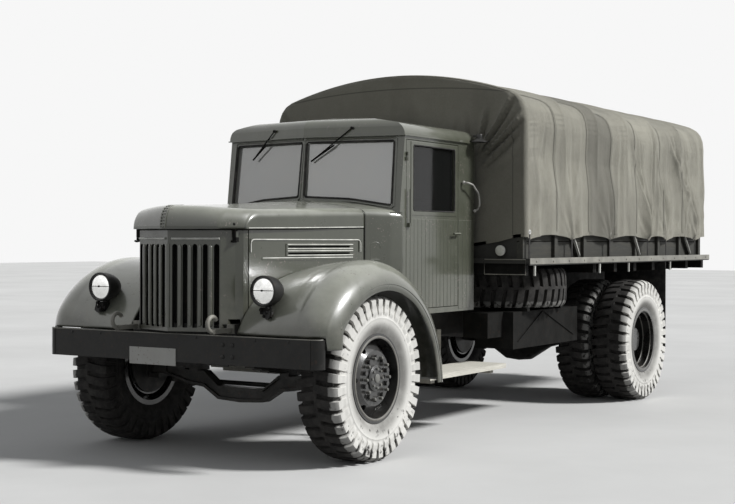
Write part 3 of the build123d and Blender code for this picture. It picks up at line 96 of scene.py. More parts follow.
@dataclass
class Shape:
    """Vertices with four-cornered and three-cornered faces, in metres."""

    points: np.ndarray
    quads: np.ndarray
    tris: np.ndarray

    @staticmethod
    def empty() -> "Shape":
        """A shape with nothing in it."""
        return Shape(np.zeros((0, 3)), np.zeros((0, 4), int), np.zeros((0, 3), int))

    def __add__(self, other: "Shape") -> "Shape":
        """Both shapes in one."""
        shift = len(self.points)
        return Shape(
            np.vstack([self.points, other.points]),
            np.vstack([self.quads, other.quads + shift]),
            np.vstack([self.tris, other.tris + shift]),
        )

    def moved(self, offset: tuple[float, float, float] | np.ndarray) -> "Shape":
        """The shape shifted by an offset."""
        return Shape(self.points + np.asarray(offset, float), self.quads, self.tris)

    def turned(self, matrix: np.ndarray) -> "Shape":
        """The shape turned by a 3 x 3 matrix about the origin."""
        return Shape(self.points @ np.asarray(matrix, float).T, self.quads, self.tris)

    def mirrored(self) -> "Shape":
        """The shape's mirror image across X = 0, with its faces still outwards."""
        return Shape(self.points * (-1, 1, 1), self.quads[:, ::-1], self.tris[:, ::-1])

    def paired(self) -> "Shape":
        """The shape and its mirror image."""
        return self + self.mirrored()

    def copied(self, points: np.ndarray) -> "Shape":
        """The shape's faces over each set of a stack of its points."""
        steps = np.arange(len(points))[:, None, None] * len(self.points)
        return Shape(
            points.reshape(-1, 3),
            (self.quads[None] + steps).reshape(-1, 4),
            (self.tris[None] + steps).reshape(-1, 3),
        )

    def repeated(self, offsets: np.ndarray) -> "Shape":
        """One copy of the shape at each offset."""
        return self.copied(self.points[None] + np.asarray(offsets, float)[:, None])

    def spun(self, count: int) -> "Shape":
        """Copies of the shape spread evenly round the X axis."""
        angles = 2 * math.pi * np.arange(count) / count
        c, s = np.cos(angles)[:, None], np.sin(angles)[:, None]
        x, y, z = self.points.T
        return self.copied(np.stack([np.broadcast_to(x, (count, len(x))), c * y - s * z, s * y + c * z], -1))


def grid(points: np.ndarray, wrap_u: bool = False, wrap_v: bool = False) -> Shape:
    """Surface through a grid of points.

    Each cell of the grid is one face; its outside is where the second index
    runs to the left of the first, seen from outside.

    Args:
        points: array of u by v by 3.
        wrap_u: join the last row to the first.
        wrap_v: join the last column to the first.

    Returns:
        The shape.
    """
    nu, nv = points.shape[:2]
    u = np.arange(nu if wrap_u else nu - 1)[:, None]
    v = np.arange(nv if wrap_v else nv - 1)[None]
    u2, v2 = (u + 1) % nu, (v + 1) % nv
    corners = [u * nv + v, u2 * nv + v, u2 * nv + v2, u * nv + v2]
    quads = np.stack([c + 0 * u + 0 * v for c in corners], -1).reshape(-1, 4)
    return Shape(points.reshape(-1, 3), quads, np.zeros((0, 3), int))


def about_x(profile: list[tuple[float, float]], segments: int) -> np.ndarray:
    """An outline of (x, radius) points repeated round the X axis."""
    outline = np.asarray(profile, float)
    angle = 2 * math.pi * np.arange(segments)[:, None] / segments
    x = outline[None, :, 0] + 0 * angle
    r = outline[None, :, 1]
    return np.stack([x, r * np.cos(angle), r * np.sin(angle)], -1)


def lathe(profile: list[tuple[float, float]], segments: int = 48) -> Shape:
    """Closed ring made by turning a closed (x, radius) outline about the X axis."""
    return grid(about_x(profile, segments), True, True)


def disc(profile: list[tuple[float, float]], segments: int = 32) -> Shape:
    """Solid of revolution about X whose open (x, radius) outline is closed by a point at each end."""
    ring = np.asarray(profile, float)
    body = grid(about_x(profile, segments), True)
    n = len(ring)
    first = np.arange(segments) * n
    after = np.roll(first, -1)
    tips = np.array([[ring[0, 0], 0, 0], [ring[-1, 0], 0, 0]])
    base = len(body.points)
    low = np.stack([after, first, np.full(segments, base)], -1)
    high = np.stack([first + n - 1, after + n - 1, np.full(segments, base + 1)], -1)
    return Shape(np.vstack([body.points, tips]), body.quads, np.vstack([low, high]))


def box(low: tuple[float, float, float], high: tuple[float, float, float]) -> Shape:
    """Box between two corners."""
    pick = np.array([[i >> 2 & 1, i >> 1 & 1, i & 1] for i in range(8)])
    points = np.where(pick == 1, np.asarray(high, float), np.asarray(low, float))
    quads = np.array([[0, 1, 3, 2], [4, 6, 7, 5], [0, 4, 5, 1], [2, 3, 7, 6], [0, 2, 6, 4], [1, 5, 7, 3]])
    return Shape(points, quads, np.zeros((0, 3), int))


def tube(path: np.ndarray, radius: float, sides: int = 10) -> Shape:
    """Round bar along a path: a circle carried square to the path's direction.

    Args:
        path: points of the centre line.
        radius: radius of the bar.
        sides: points round the circle.

    Returns:
        The closed bar.
    """
    path = np.asarray(path, float)
    along = np.gradient(path, axis=0)
    along /= np.linalg.norm(along, axis=1)[:, None]
    guide = np.where(np.abs(along[:, 2:]) > 0.9, (1.0, 0.0, 0.0), (0.0, 0.0, 1.0))
    first = np.cross(guide, along)
    first /= np.linalg.norm(first, axis=1)[:, None]
    second = np.cross(along, first)
    angle = 2 * math.pi * np.arange(sides) / sides
    c, s = np.cos(angle)[None, :, None], np.sin(angle)[None, :, None]
    ring = radius * (c * first[:, None] + s * second[:, None])
    body = grid(path[:, None] + ring, False, True)
    base, last = len(body.points), (len(path) - 1) * sides
    here = np.arange(sides)
    after = np.roll(here, -1)
    low = np.stack([here, after, np.full(sides, base)], -1)
    high = np.stack([after + last, here + last, np.full(sides, base + 1)], -1)
    flipped = Shape(body.points, body.quads[:, ::-1], body.tris)
    points = np.vstack([flipped.points, path[:1], path[-1:]])
    return Shape(points, flipped.quads, np.vstack([low[:, ::-1], high[:, ::-1]]))


def smooth_path(points: np.ndarray, steps: int) -> np.ndarray:
    """Curve that passes through every point, with steps places between two of them.

    Each stretch is the cubic whose slope at a point is half the way from the
    point before it to the point after it.
    """
    slopes = np.gradient(points, axis=0)
    t = np.linspace(0, 1, steps, endpoint=False)[None, :, None]
    a, b = points[:-1, None], points[1:, None]
    sa, sb = slopes[:-1, None], slopes[1:, None]
    curve = (2 * t**3 - 3 * t**2 + 1) * a + (t**3 - 2 * t**2 + t) * sa
    curve = curve + (3 * t**2 - 2 * t**3) * b + (t**3 - t**2) * sb
    return np.concatenate([curve.reshape(-1, 3), points[-1:]])


def hexagon(length: float, across: float) -> Shape:
    """Six-sided bolt head along +X, with a chamfered end."""
    r = across / math.sqrt(3)
    return disc([(0, r), (length * 0.8, r), (length, r * 0.86)], 6)


def rivet(radius: float) -> Shape:
    """Low round head along +X."""
    return disc([(0, radius), (radius * 0.35, radius * 0.9), (radius * 0.6, radius * 0.5)], 10)


def spots(x: object, y: object, z: object) -> np.ndarray:
    """Rows of points from numbers or arrays of each coordinate."""
    return np.stack([np.array(part, float) for part in np.broadcast_arrays(x, y, z)], -1)


TO_FRONT = np.array([[0, 1, 0], [-1, 0, 0], [0, 0, 1]])
TO_TOP = np.array([[0, 0, -1], [0, 1, 0], [1, 0, 0]])
FLAT = np.array([[0, 0, 1], [0, 1, 0], [-1, 0, 0]])

def smooth_step(value: np.ndarray, low: float, high: float) -> np.ndarray:
    """0 below low, 1 above high, and a smooth rise between."""
    t = np.clip((value - low) / (high - low), 0, 1)
    return t * t * (3 - 2 * t)


# Finishes


def shade(tone: Colour, by: float, plus: float = 0.0) -> Colour:
    """A tone made lighter or darker."""
    return tuple(c * by + plus for c in tone)

class Graph:
    """Node tree of one material, with a short method for each kind of node that the finishes use."""

    COLOUR_A = 6
    COLOUR_B = 7
    COLOUR_OUT = 2

    def __init__(self, name: str) -> None:
        """Start a material with a shader and nothing else."""
        self.material = bpy.data.materials.new(name)
        self.material.use_nodes = True
        self.tree = self.material.node_tree
        self.tree.nodes.clear()
        self.shader = self.node("ShaderNodeBsdfPrincipled")
        output = self.node("ShaderNodeOutputMaterial")
        self.tree.links.new(self.shader.outputs["BSDF"], output.inputs["Surface"])
        self.place = self.node("ShaderNodeTexCoord").outputs["Object"]

    def node(self, kind: str, **settings: object) -> bpy.types.Node:
        """Add a node and set its options."""
        made = self.tree.nodes.new(kind)
        for key, value in settings.items():
            setattr(made, key, value)
        return made

    def put(self, socket: Socket, value: object) -> None:
        """Link a socket, or set its number or colour."""
        if isinstance(value, Socket):
            self.tree.links.new(value, socket)
        elif isinstance(value, tuple) and len(value) == 3 and socket.type == "RGBA":
            socket.default_value = (*value, 1.0)
        else:
            socket.default_value = value

    def stretched(self, scale: Colour) -> Socket:
        """Object coordinates, scaled by axis."""
        made = self.node("ShaderNodeMapping")
        self.put(made.inputs["Vector"], self.place)
        made.inputs["Scale"].default_value = scale
        return made.outputs["Vector"]

    def noise(self, scale: float, detail: float = 4.0, stretch: Colour | None = None) -> Socket:
        """Cloudy noise from 0 to 1."""
        made = self.node("ShaderNodeTexNoise")
        self.put(made.inputs["Vector"], self.stretched(stretch) if stretch else self.place)
        made.inputs["Scale"].default_value = scale
        made.inputs["Detail"].default_value = detail
        made.inputs["Roughness"].default_value = 0.6
        return made.outputs["Fac"]

    def fit(self, value: object, low: float, high: float, to: tuple[float, float] = (0.0, 1.0)) -> Socket:
        """Map a range onto another, with its ends held."""
        made = self.node("ShaderNodeMapRange")
        self.put(made.inputs["Value"], value)
        for key, number in zip(("From Min", "From Max", "To Min", "To Max"), (low, high, *to)):
            made.inputs[key].default_value = number
        return made.outputs["Result"]

    def maths(self, how: str, a: object, b: object = 0.0) -> Socket:
        """One sum on two numbers."""
        made = self.node("ShaderNodeMath", operation=how)
        self.put(made.inputs[0], a)
        self.put(made.inputs[1], b)
        return made.outputs[0]

    def times(self, a: object, b: object) -> Socket:
        """Product of two numbers."""
        return self.maths("MULTIPLY", a, b)

    def blend(self, share: object, a: object, b: object) -> Socket:
        """Mix two colours by a share."""
        made = self.node("ShaderNodeMix", data_type="RGBA", blend_type="MIX")
        self.put(made.inputs["Factor"], share)
        self.put(made.inputs[self.COLOUR_A], a)
        self.put(made.inputs[self.COLOUR_B], b)
        return made.outputs[self.COLOUR_OUT]

    def axis(self, index: int) -> Socket:
        """One of the object coordinates."""
        made = self.node("ShaderNodeSeparateXYZ")
        self.put(made.inputs[0], self.place)
        return made.outputs[index]

    def facing_up(self, low: float, high: float) -> Socket:
        """0 where the surface leans away from the sky, up to 1 where it faces it."""
        geometry = self.node("ShaderNodeNewGeometry")
        split = self.node("ShaderNodeSeparateXYZ")
        self.put(split.inputs[0], geometry.outputs["Normal"])
        return self.fit(split.outputs[2], low, high)

    def attribute(self, name: str) -> Socket:
        """A number that the mesh carries at each vertex."""
        return self.node("ShaderNodeAttribute", attribute_name=name).outputs["Fac"]

    def uv(self, index: int) -> Socket:
        """One of the piece's own UV coordinates."""
        made = self.node("ShaderNodeSeparateXYZ")
        self.put(made.inputs[0], self.node("ShaderNodeUVMap", uv_map="UVMap").outputs["UV"])
        return made.outputs[index]

    def bump(self, height: object, depth: float, under: object = None) -> Socket:
        """Tilt the surface by a height map of a given depth in metres."""
        made = self.node("ShaderNodeBump")
        made.inputs["Distance"].default_value = depth
        self.put(made.inputs["Height"], height)
        if under is not None:
            self.put(made.inputs["Normal"], under)
        return made.outputs["Normal"]

    def finish(self, colour: object, rough: object, normal: object = None, **sockets: float) -> Material:
        """Wire the shader up and return the material."""
        self.put(self.shader.inputs["Base Color"], colour)
        self.put(self.shader.inputs["Roughness"], rough)
        if normal is not None:
            self.put(self.shader.inputs["Normal"], normal)
        for key, value in sockets.items():
            self.shader.inputs[key.replace("_", " ").title().replace("Ior", "IOR")].default_value = value
        return self.material


@dataclass(frozen=True)
class Paint:
    """Brushed-on army paint with faded patches, rain streaks, road dust and chips, a paler top that is dust
    and painted sheen, and painted shade in the nose's slots.
    """

    name: str
    tone: Colour
    rough: float = 0.45
    fade: float = 0.35
    dust: float = 0.4
    chips: float = 0.62
    grain: bool = False
    shaded_slots: bool = False
    dust_and_sheen_share: float = 0.7
    dust_and_sheen_top: Colour = (0.46, 0.47, 0.40)
    coat: float = 1.0

    def material(self) -> Material:
        """Build the material."""
        g = Graph(self.name)
        pale = shade(self.tone, 1.45, 0.02)
        dark = shade(self.tone, 0.62)
        patch = g.fit(g.noise(1.7, 6.0), 0.38, 0.72, (0.0, self.fade))
        colour = g.blend(patch, self.tone, pale)
        streak = g.fit(g.noise(2.2, 6.0, (5.0, 5.0, 0.8)), 0.5, 0.8, (0.0, 0.35))
        colour = g.blend(streak, colour, dark)
        cloud = g.noise(9.0, 6.0)
        low = g.fit(g.axis(2), 1.35, 0.25)
        share = g.times(g.times(low, self.dust), g.fit(cloud, 0.35, 0.65))
        colour = g.blend(share, colour, (0.30, 0.28, 0.24))
        # Paler tone on the faces that look up: dust and sun fading, and a painted sheen that stands for the
        # sky's light on the tops.
        up = g.facing_up(0.12, 0.90)
        patchy = g.fit(g.noise(2.6, 6.0), 0.3, 0.6, (0.55 * self.dust_and_sheen_share, self.dust_and_sheen_share))
        colour = g.blend(g.times(up, patchy), colour, self.dust_and_sheen_top)
        flakes = g.fit(g.noise(55.0, 3.0), self.chips, self.chips + 0.04)
        chip = g.times(flakes, g.fit(g.noise(4.0), 0.5, 0.6))
        colour = g.blend(chip, colour, (0.16, 0.14, 0.12))
        # Painted shade: near black within the grille's slots, behind the face of the nose.
        if self.shaded_slots:
            across = g.maths("ABSOLUTE", g.axis(0))
            behind = g.maths("SUBTRACT", g.axis(1), g.times(across, VEE_SLOPE))
            slot_shade = g.fit(behind, NOSE_TIP_Y + 0.002, NOSE_TIP_Y + 0.005)
            slot_shade = g.times(slot_shade, g.fit(across, VEE_EDGE_X + 0.004, VEE_EDGE_X))
            slot_shade = g.times(slot_shade, g.fit(g.axis(2), 1.47, 1.46))
            colour = g.blend(slot_shade, colour, (0.008, 0.008, 0.008))
        rough = g.fit(cloud, 0.3, 0.7, (self.rough - 0.08, self.rough + 0.14))
        normal = g.bump(g.noise(240.0, 2.0), 0.0003)
        normal = g.bump(g.noise(2.2, 2.0), 0.006, normal)
        if self.grain:
            normal = g.bump(g.noise(30.0, 5.0, (6.0, 6.0, 0.35)), 0.0016, normal)
        return g.finish(colour, rough, normal, coat_weight=self.coat, coat_roughness=0.14)


@dataclass(frozen=True)
class Steel:
    """Dark painted steel of the running gear: greasy, dusty, with rusty specks."""

    name: str
    tone: Colour = (0.022, 0.022, 0.02)
    rough: float = 0.5
    rust: float = 0.3
    dust: float = 0.4
    bare_below: float = 0.0
    coat: float = 0.0
    gloss: float = 0.35

    def material(self) -> Material:
        """Build the material."""
        g = Graph(self.name)
        cloud = g.noise(7.0, 7.0)
        colour = g.blend(g.fit(cloud, 0.4, 0.65, (0.0, 0.6)), self.tone, shade(self.tone, 1.9, 0.01))
        rust = g.times(g.fit(g.noise(34.0, 6.0), 0.58, 0.68), self.rust)
        colour = g.blend(rust, colour, (0.13, 0.07, 0.04))
        low = g.fit(g.axis(2), 1.2, 0.2)
        share = g.times(g.times(low, self.dust), g.fit(g.noise(12.0, 6.0), 0.35, 0.7))
        colour = g.blend(share, colour, (0.20, 0.188, 0.168))
        if self.bare_below:
            worn = g.fit(g.axis(2), self.bare_below, self.bare_below - 0.02)
            bare = g.times(worn, g.fit(cloud, 0.3, 0.6, (0.5, 1.0)))
            colour = g.blend(bare, colour, (0.48, 0.47, 0.44))
        rough = g.fit(cloud, 0.3, 0.7, (self.rough - 0.1, self.rough + 0.2))
        normal = g.bump(g.noise(120.0, 4.0), 0.0008)
        return g.finish(
            colour, rough, normal, coat_weight=self.coat, coat_roughness=0.1, specular_ior_level=self.gloss
        )


@dataclass(frozen=True)
class Rubber:
    """Tyre rubber; where the mesh carries chalk it is whitewashed, worn and grimy in places."""

    name: str
    tone: Colour = (0.020, 0.019, 0.018)
    chalk: Colour = (0.76, 0.75, 0.71)

    def material(self) -> Material:
        """Build the material."""
        g = Graph(self.name)
        cloud = g.noise(6.0, 7.0)
        mud = g.fit(g.noise(16.0, 6.0), 0.40, 0.68, (0.0, 0.6))
        colour = g.blend(mud, self.tone, (0.085, 0.08, 0.074))
        scuff = g.fit(g.noise(26.0, 7.0), 0.50, 0.78, (0.0, 0.8))
        low = g.fit(g.axis(2), 0.42, 0.03, (0.0, 0.55))
        loss = g.maths("ADD", scuff, g.times(low, g.fit(g.noise(9.0, 6.0), 0.35, 0.65)))
        coat = g.maths("SUBTRACT", g.attribute("chalk"), loss)
        grime = g.times(g.attribute("grime"), g.fit(g.noise(5.0, 6.0), 0.25, 0.6, (0.5, 1.0)))
        chalk = g.blend(g.fit(g.noise(3.2, 6.0), 0.35, 0.7, (0.0, 0.4)), self.chalk, (0.36, 0.35, 0.33))
        chalk = g.blend(grime, chalk, (0.24, 0.235, 0.22))
        colour = g.blend(g.fit(coat, 0.18, 0.62), colour, chalk)
        rough = g.fit(cloud, 0.3, 0.7, (0.68, 0.92))
        normal = g.bump(g.noise(150.0, 4.0), 0.0009)
        return g.finish(colour, rough, normal, specular_ior_level=0.3)


THREADS = 420


@dataclass(frozen=True)
class Canvas:
    """Proofed cotton duck: weave, darker water stains, a paler crown, one newer panel and painted shade on
    the front wall.
    """

    name: str
    tone: Colour = (0.285, 0.275, 0.230)
    seam_x: float = 1.095
    seam_top: float = 2.746
    seam_arch: float = 0.0654
    bay_end: tuple[float, float] = (2.13, 2.11)

    def material(self) -> Material:
        """Build the material."""
        g = Graph(self.name)
        pale = shade(self.tone, 1.38)
        dark = shade(self.tone, 0.6)
        colour = g.blend(g.fit(g.noise(1.3, 7.0), 0.35, 0.7), self.tone, pale)
        stain = g.fit(g.noise(2.2, 6.0, (1.0, 3.5, 0.6)), 0.52, 0.7, (0.0, 0.5))
        colour = g.blend(stain, colour, dark)
        # Darker where the mesh carries its panel value: the newer panel, the seams, and painted shade on the
        # front wall.
        colour = g.blend(g.times(g.attribute("panel"), 0.8), colour, dark)
        across = g.maths("ABSOLUTE", g.axis(0))
        upright = g.maths("ABSOLUTE", g.maths("SUBTRACT", across, self.seam_x))
        upright = g.times(g.fit(upright, 0.006, 0.002), g.fit(g.axis(2), 2.40, 2.36))
        arch = g.maths("SUBTRACT", self.seam_top, g.times(g.times(across, across), self.seam_arch))
        level = g.maths("ABSOLUTE", g.maths("SUBTRACT", g.axis(2), arch))
        level = g.times(g.fit(level, 0.007, 0.002), g.fit(across, 1.03, 1.01))
        front = g.fit(g.axis(1), FRONT_AXLE_Y + self.bay_end[0], FRONT_AXLE_Y + self.bay_end[1])
        seam = g.times(g.maths("MAXIMUM", upright, level), front)
        colour = g.blend(g.times(seam, 0.7), colour, shade(self.tone, 0.3))
        fine = g.noise(90.0, 5.0)
        colour = g.blend(g.fit(fine, 0.4, 0.65, (0.0, 0.22)), colour, dark)
        turns = 2 * math.pi * THREADS
        warp = g.maths("SINE", g.times(g.uv(0), turns))
        weft = g.maths("SINE", g.times(g.uv(1), turns))
        weave = g.times(warp, weft)
        normal = g.bump(weave, 0.0005)
        normal = g.bump(g.noise(14.0, 5.0), 0.004, normal)
        rough = g.fit(fine, 0.3, 0.7, (0.82, 0.97))
        return g.finish(colour, rough, normal, specular_ior_level=0.2, sheen_weight=0.15)


@dataclass(frozen=True)
class Wood:
    """Painted boards whose grain runs along one axis, with paint worn from the ridges."""

    name: str
    tone: Colour
    along: Colour = (9.0, 0.5, 9.0)
    bare: Colour = (0.26, 0.235, 0.19)
    worn: float = 0.5

    def material(self) -> Material:
        """Build the material."""
        g = Graph(self.name)
        grain = g.noise(6.0, 8.0, self.along)
        fine = g.noise(26.0, 6.0, self.along)
        share = g.times(g.fit(grain, 0.48, 0.62), self.worn)
        colour = g.blend(share, self.tone, self.bare)
        colour = g.blend(g.fit(fine, 0.5, 0.7, (0.0, 0.5)), colour, shade(self.tone, 0.5))
        normal = g.bump(grain, 0.002)
        normal = g.bump(fine, 0.001, normal)
        return g.finish(colour, g.fit(grain, 0.3, 0.7, (0.6, 0.88)), normal)


@dataclass(frozen=True)
class Glass:
    """Flat pane with a tint and a film of dust; on the windscreen the pale film is also a painted reflection,
    and on the door windows the dark tint is painted shade.
    """

    name: str
    tone: Colour = (0.75, 0.8, 0.78)
    film: float = 0.16
    clear: float = 0.8
    index: float = 1.3

    def material(self) -> Material:
        """Build the material."""
        g = Graph(self.name)
        # Pale film: dust, which on the windscreen is also a painted reflection of the sky.
        dust = g.fit(g.noise(3.0, 7.0), 0.35, 0.7, (0.4 * self.film, self.film))
        colour = g.blend(dust, self.tone, (0.55, 0.53, 0.49))
        rough = g.fit(g.noise(8.0, 5.0), 0.3, 0.7, (0.03, 0.1))
        return g.finish(colour, rough, None, transmission_weight=self.clear, ior=self.index)


@dataclass(frozen=True)
class Bright:
    """Bright metal or a silvered lamp: near white, with fine scratches and tarnish."""

    name: str
    tone: Colour = (0.8, 0.8, 0.78)
    rough: float = 0.25
    metallic: float = 0.9

    def material(self) -> Material:
        """Build the material."""
        g = Graph(self.name)
        cloud = g.noise(20.0, 6.0)
        colour = g.blend(g.fit(cloud, 0.45, 0.7, (0.0, 0.5)), self.tone, shade(self.tone, 0.6))
        rough = g.fit(cloud, 0.3, 0.7, (self.rough, self.rough + 0.2))
        normal = g.bump(g.noise(300.0, 2.0), 0.0002)
        return g.finish(colour, rough, normal, metallic=self.metallic)


@dataclass(frozen=True)
class Leather:
    """Worn dark seat covering with a fine grain and creases."""

    name: str
    tone: Colour = (0.06, 0.045, 0.035)

    def material(self) -> Material:
        """Build the material."""
        g = Graph(self.name)
        cell = g.node("ShaderNodeTexVoronoi")
        g.put(cell.inputs["Vector"], g.place)
        cell.inputs["Scale"].default_value = 260.0
        colour = g.blend(g.fit(g.noise(5.0, 6.0), 0.4, 0.7), self.tone, shade(self.tone, 1.9))
        normal = g.bump(cell.outputs["Distance"], 0.0006)
        normal = g.bump(g.noise(18.0, 5.0), 0.003, normal)
        return g.finish(colour, g.fit(g.noise(9.0), 0.3, 0.7, (0.4, 0.65)), normal)


OLIVE: Colour = (0.043, 0.047, 0.031)
BODY_PAINT = Paint("body_paint", OLIVE, 0.34)
# The nose's paint is the body's olive darkened: painted shade on its forward faces.
SHADED_NOSE_PAINT = Paint("nose_paint_shaded", (0.032, 0.035, 0.023), 0.34, shaded_slots=True, coat=0.6)
PLANK_PAINT = Paint("plank_paint", (0.055, 0.060, 0.040), 0.5, 0.3, 0.4, 0.6, True)
ROOF_PAINT = Paint("roof_paint", (0.080, 0.085, 0.060), 0.36, dust_and_sheen_share=0.12)
CHASSIS_STEEL = Steel("chassis_steel", (0.016, 0.016, 0.015))
# Near-black, dull steel: black paint, and painted shade on the radiator behind the grille and on the locker
# and other boxes and beams under the bed.
DARK_STEEL_AND_SHADE = Steel("dark_steel_and_shade", (0.006, 0.006, 0.0055), 0.6, 0.12, 0.04, gloss=0.08)
BUMPER_STEEL = Steel("bumper_steel", (0.007, 0.007, 0.0065), 0.4, 0.12, 0.08, gloss=0.25)
WHEEL_STEEL = Steel("wheel_steel", (0.010, 0.010, 0.0095), 0.26, 0.15, 0.12, coat=1.0)
RIM_EDGE = Steel("rim_edge", (0.16, 0.155, 0.14), 0.3, 0.2, 0.2)
ENGINE_STEEL = Steel("engine_steel", (0.06, 0.062, 0.058), 0.5)
FITTINGS = Steel("cab_fittings", (0.016, 0.016, 0.015), 0.32, 0.1, 0.0, bare_below=2.06)
# Pale paint on beads, strips and edges: wear, and a painted highlight where they catch the light.
TRIM_AND_HIGHLIGHT = Steel("trim_wear_and_highlight", (0.55, 0.55, 0.51), 0.3, 0.1, 0.1)
TYRE = Rubber("tyre_rubber")
FLAP = Rubber("flap_rubber", (0.014, 0.014, 0.014))
CANVAS = Canvas("canvas_duck")
# The bed wood's dark tone is partly painted shade below the cover's hem.
BED_WOOD_AND_SHADE = Wood("bed_wood", (0.026, 0.026, 0.021), bare=(0.085, 0.08, 0.065), worn=0.4)
# Near-black boards for the bed's floor and the board behind the cab: painted shade.
SHADED_BOARD = Wood("shaded_board", (0.014, 0.014, 0.012), bare=(0.05, 0.048, 0.04), worn=0.3)
STEP_WOOD = Wood("step_wood", (0.62, 0.60, 0.53), bare=(0.72, 0.70, 0.62), worn=0.8)
NUT_STEEL = Steel("nut_steel", (0.13, 0.13, 0.12), 0.3, 0.2, 0.5)
# Pale steel: wear, and a painted highlight along the edge rail and the bumper's upper edge.
RAIL_STEEL_AND_HIGHLIGHT = Steel("rail_steel_and_highlight", (0.21, 0.205, 0.18), 0.42, 0.4, 0.3)
# Door glass tinted near black: painted shade of the dark cab behind it.
SHADED_WINDOW_GLASS = Glass("window_glass_shaded", (0.055, 0.06, 0.06), 0.03, 0.9)
# Windscreen with a heavy pale film: dust, and a painted reflection of the sky.
SCREEN_GLASS_AND_REFLECTION = Glass("screen_glass", (0.50, 0.52, 0.515), 0.75, 0.45, 2.2)
PLATE_WHITE = Paint("plate_white", (0.34, 0.34, 0.32), 0.5, 0.2, 0.4)
BRIGHT = Bright("bright_metal")
LENS = Bright("lamp_lens", (0.97, 0.97, 0.95), 0.10, 1.0)
SEAT_LEATHER = Leather("seat_leather")


class Workshop:
    """Makes objects from shapes, keeps one material per finish and counts the pieces."""

    def __init__(self) -> None:
        """Start with no materials."""
        self.made: dict[object, Material] = {}
        self.count = 0

    def material(self, finish: object) -> Material:
        """The material of a finish, built on first use."""
        if finish not in self.made:
            self.made[finish] = finish.material()
        return self.made[finish]

    def dress(self, finish: object, *nodes: str) -> None:
        """Give nodes of the frame their finish."""
        for node in nodes:
            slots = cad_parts[node].data.materials
            slots.clear()
            slots.append(self.material(finish))

    def piece(
        self,
        name: str,
        shape: Shape,
        body: str,
        slot: str,
        finish: object,
        replaces: tuple[str, ...] = (),
        sharp: float = 35.0,
        numbers: dict[str, np.ndarray] | None = None,
    ) -> bpy.types.Object:
        """Make one visible piece.

        Args:
            name: the piece's name.
            shape: its mesh.
            body: the body that it rides on.
            slot: the record's material slot; not used.
            finish: its finish.
            replaces: nodes that it stands for.
            sharp: edges sharper than this many degrees stay sharp.
            numbers: values per vertex that its material reads.

        Returns:
            The new object.
        """
        mesh = bpy.data.meshes.new(name)
        mesh.from_pydata(shape.points.tolist(), [], shape.quads.tolist() + shape.tris.tolist())
        mesh.update()
        mesh.shade_smooth()
        mesh.set_sharp_from_angle(angle=math.radians(sharp))
        for key, values in (numbers or {}).items():
            layer = mesh.attributes.new(key, "FLOAT", "POINT")
            layer.data.foreach_set("value", values.astype(np.float32))
        mesh.materials.append(self.material(finish))
        made = bpy.data.objects.new(name, mesh)
        bpy.context.scene.collection.objects.link(made)
        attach(made, body)
        if replaces:
            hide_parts(*replaces)
        self.count += 1
        LOG.info("%s: %d faces on %s", name, len(mesh.polygons), body)
        return made

    def modifier(self, made: bpy.types.Object, kind: str, **settings: object) -> None:
        """Add a modifier to a piece."""
        added = made.modifiers.new(kind.lower(), kind)
        for key, value in settings.items():
            setattr(added, key, value)

    def bevel(self, made: bpy.types.Object, width: float) -> None:
        """Ease a piece's edges."""
        self.modifier(made, "BEVEL", width=width, segments=2, limit_method="ANGLE")

    def thicken(self, made: bpy.types.Object, thickness: float) -> None:
        """Give a skin its thickness, inwards."""
        self.modifier(made, "SOLIDIFY", thickness=thickness, offset=-1.0)


# Sub-assemblies

RIM_SIDES = 96
TYRE_EDGE = 28.0
FITTING_EDGE = 30.0
LIP_EDGE = 50.0
SKIN_EDGE = 60.0
FENDER_EDGE = 70.0

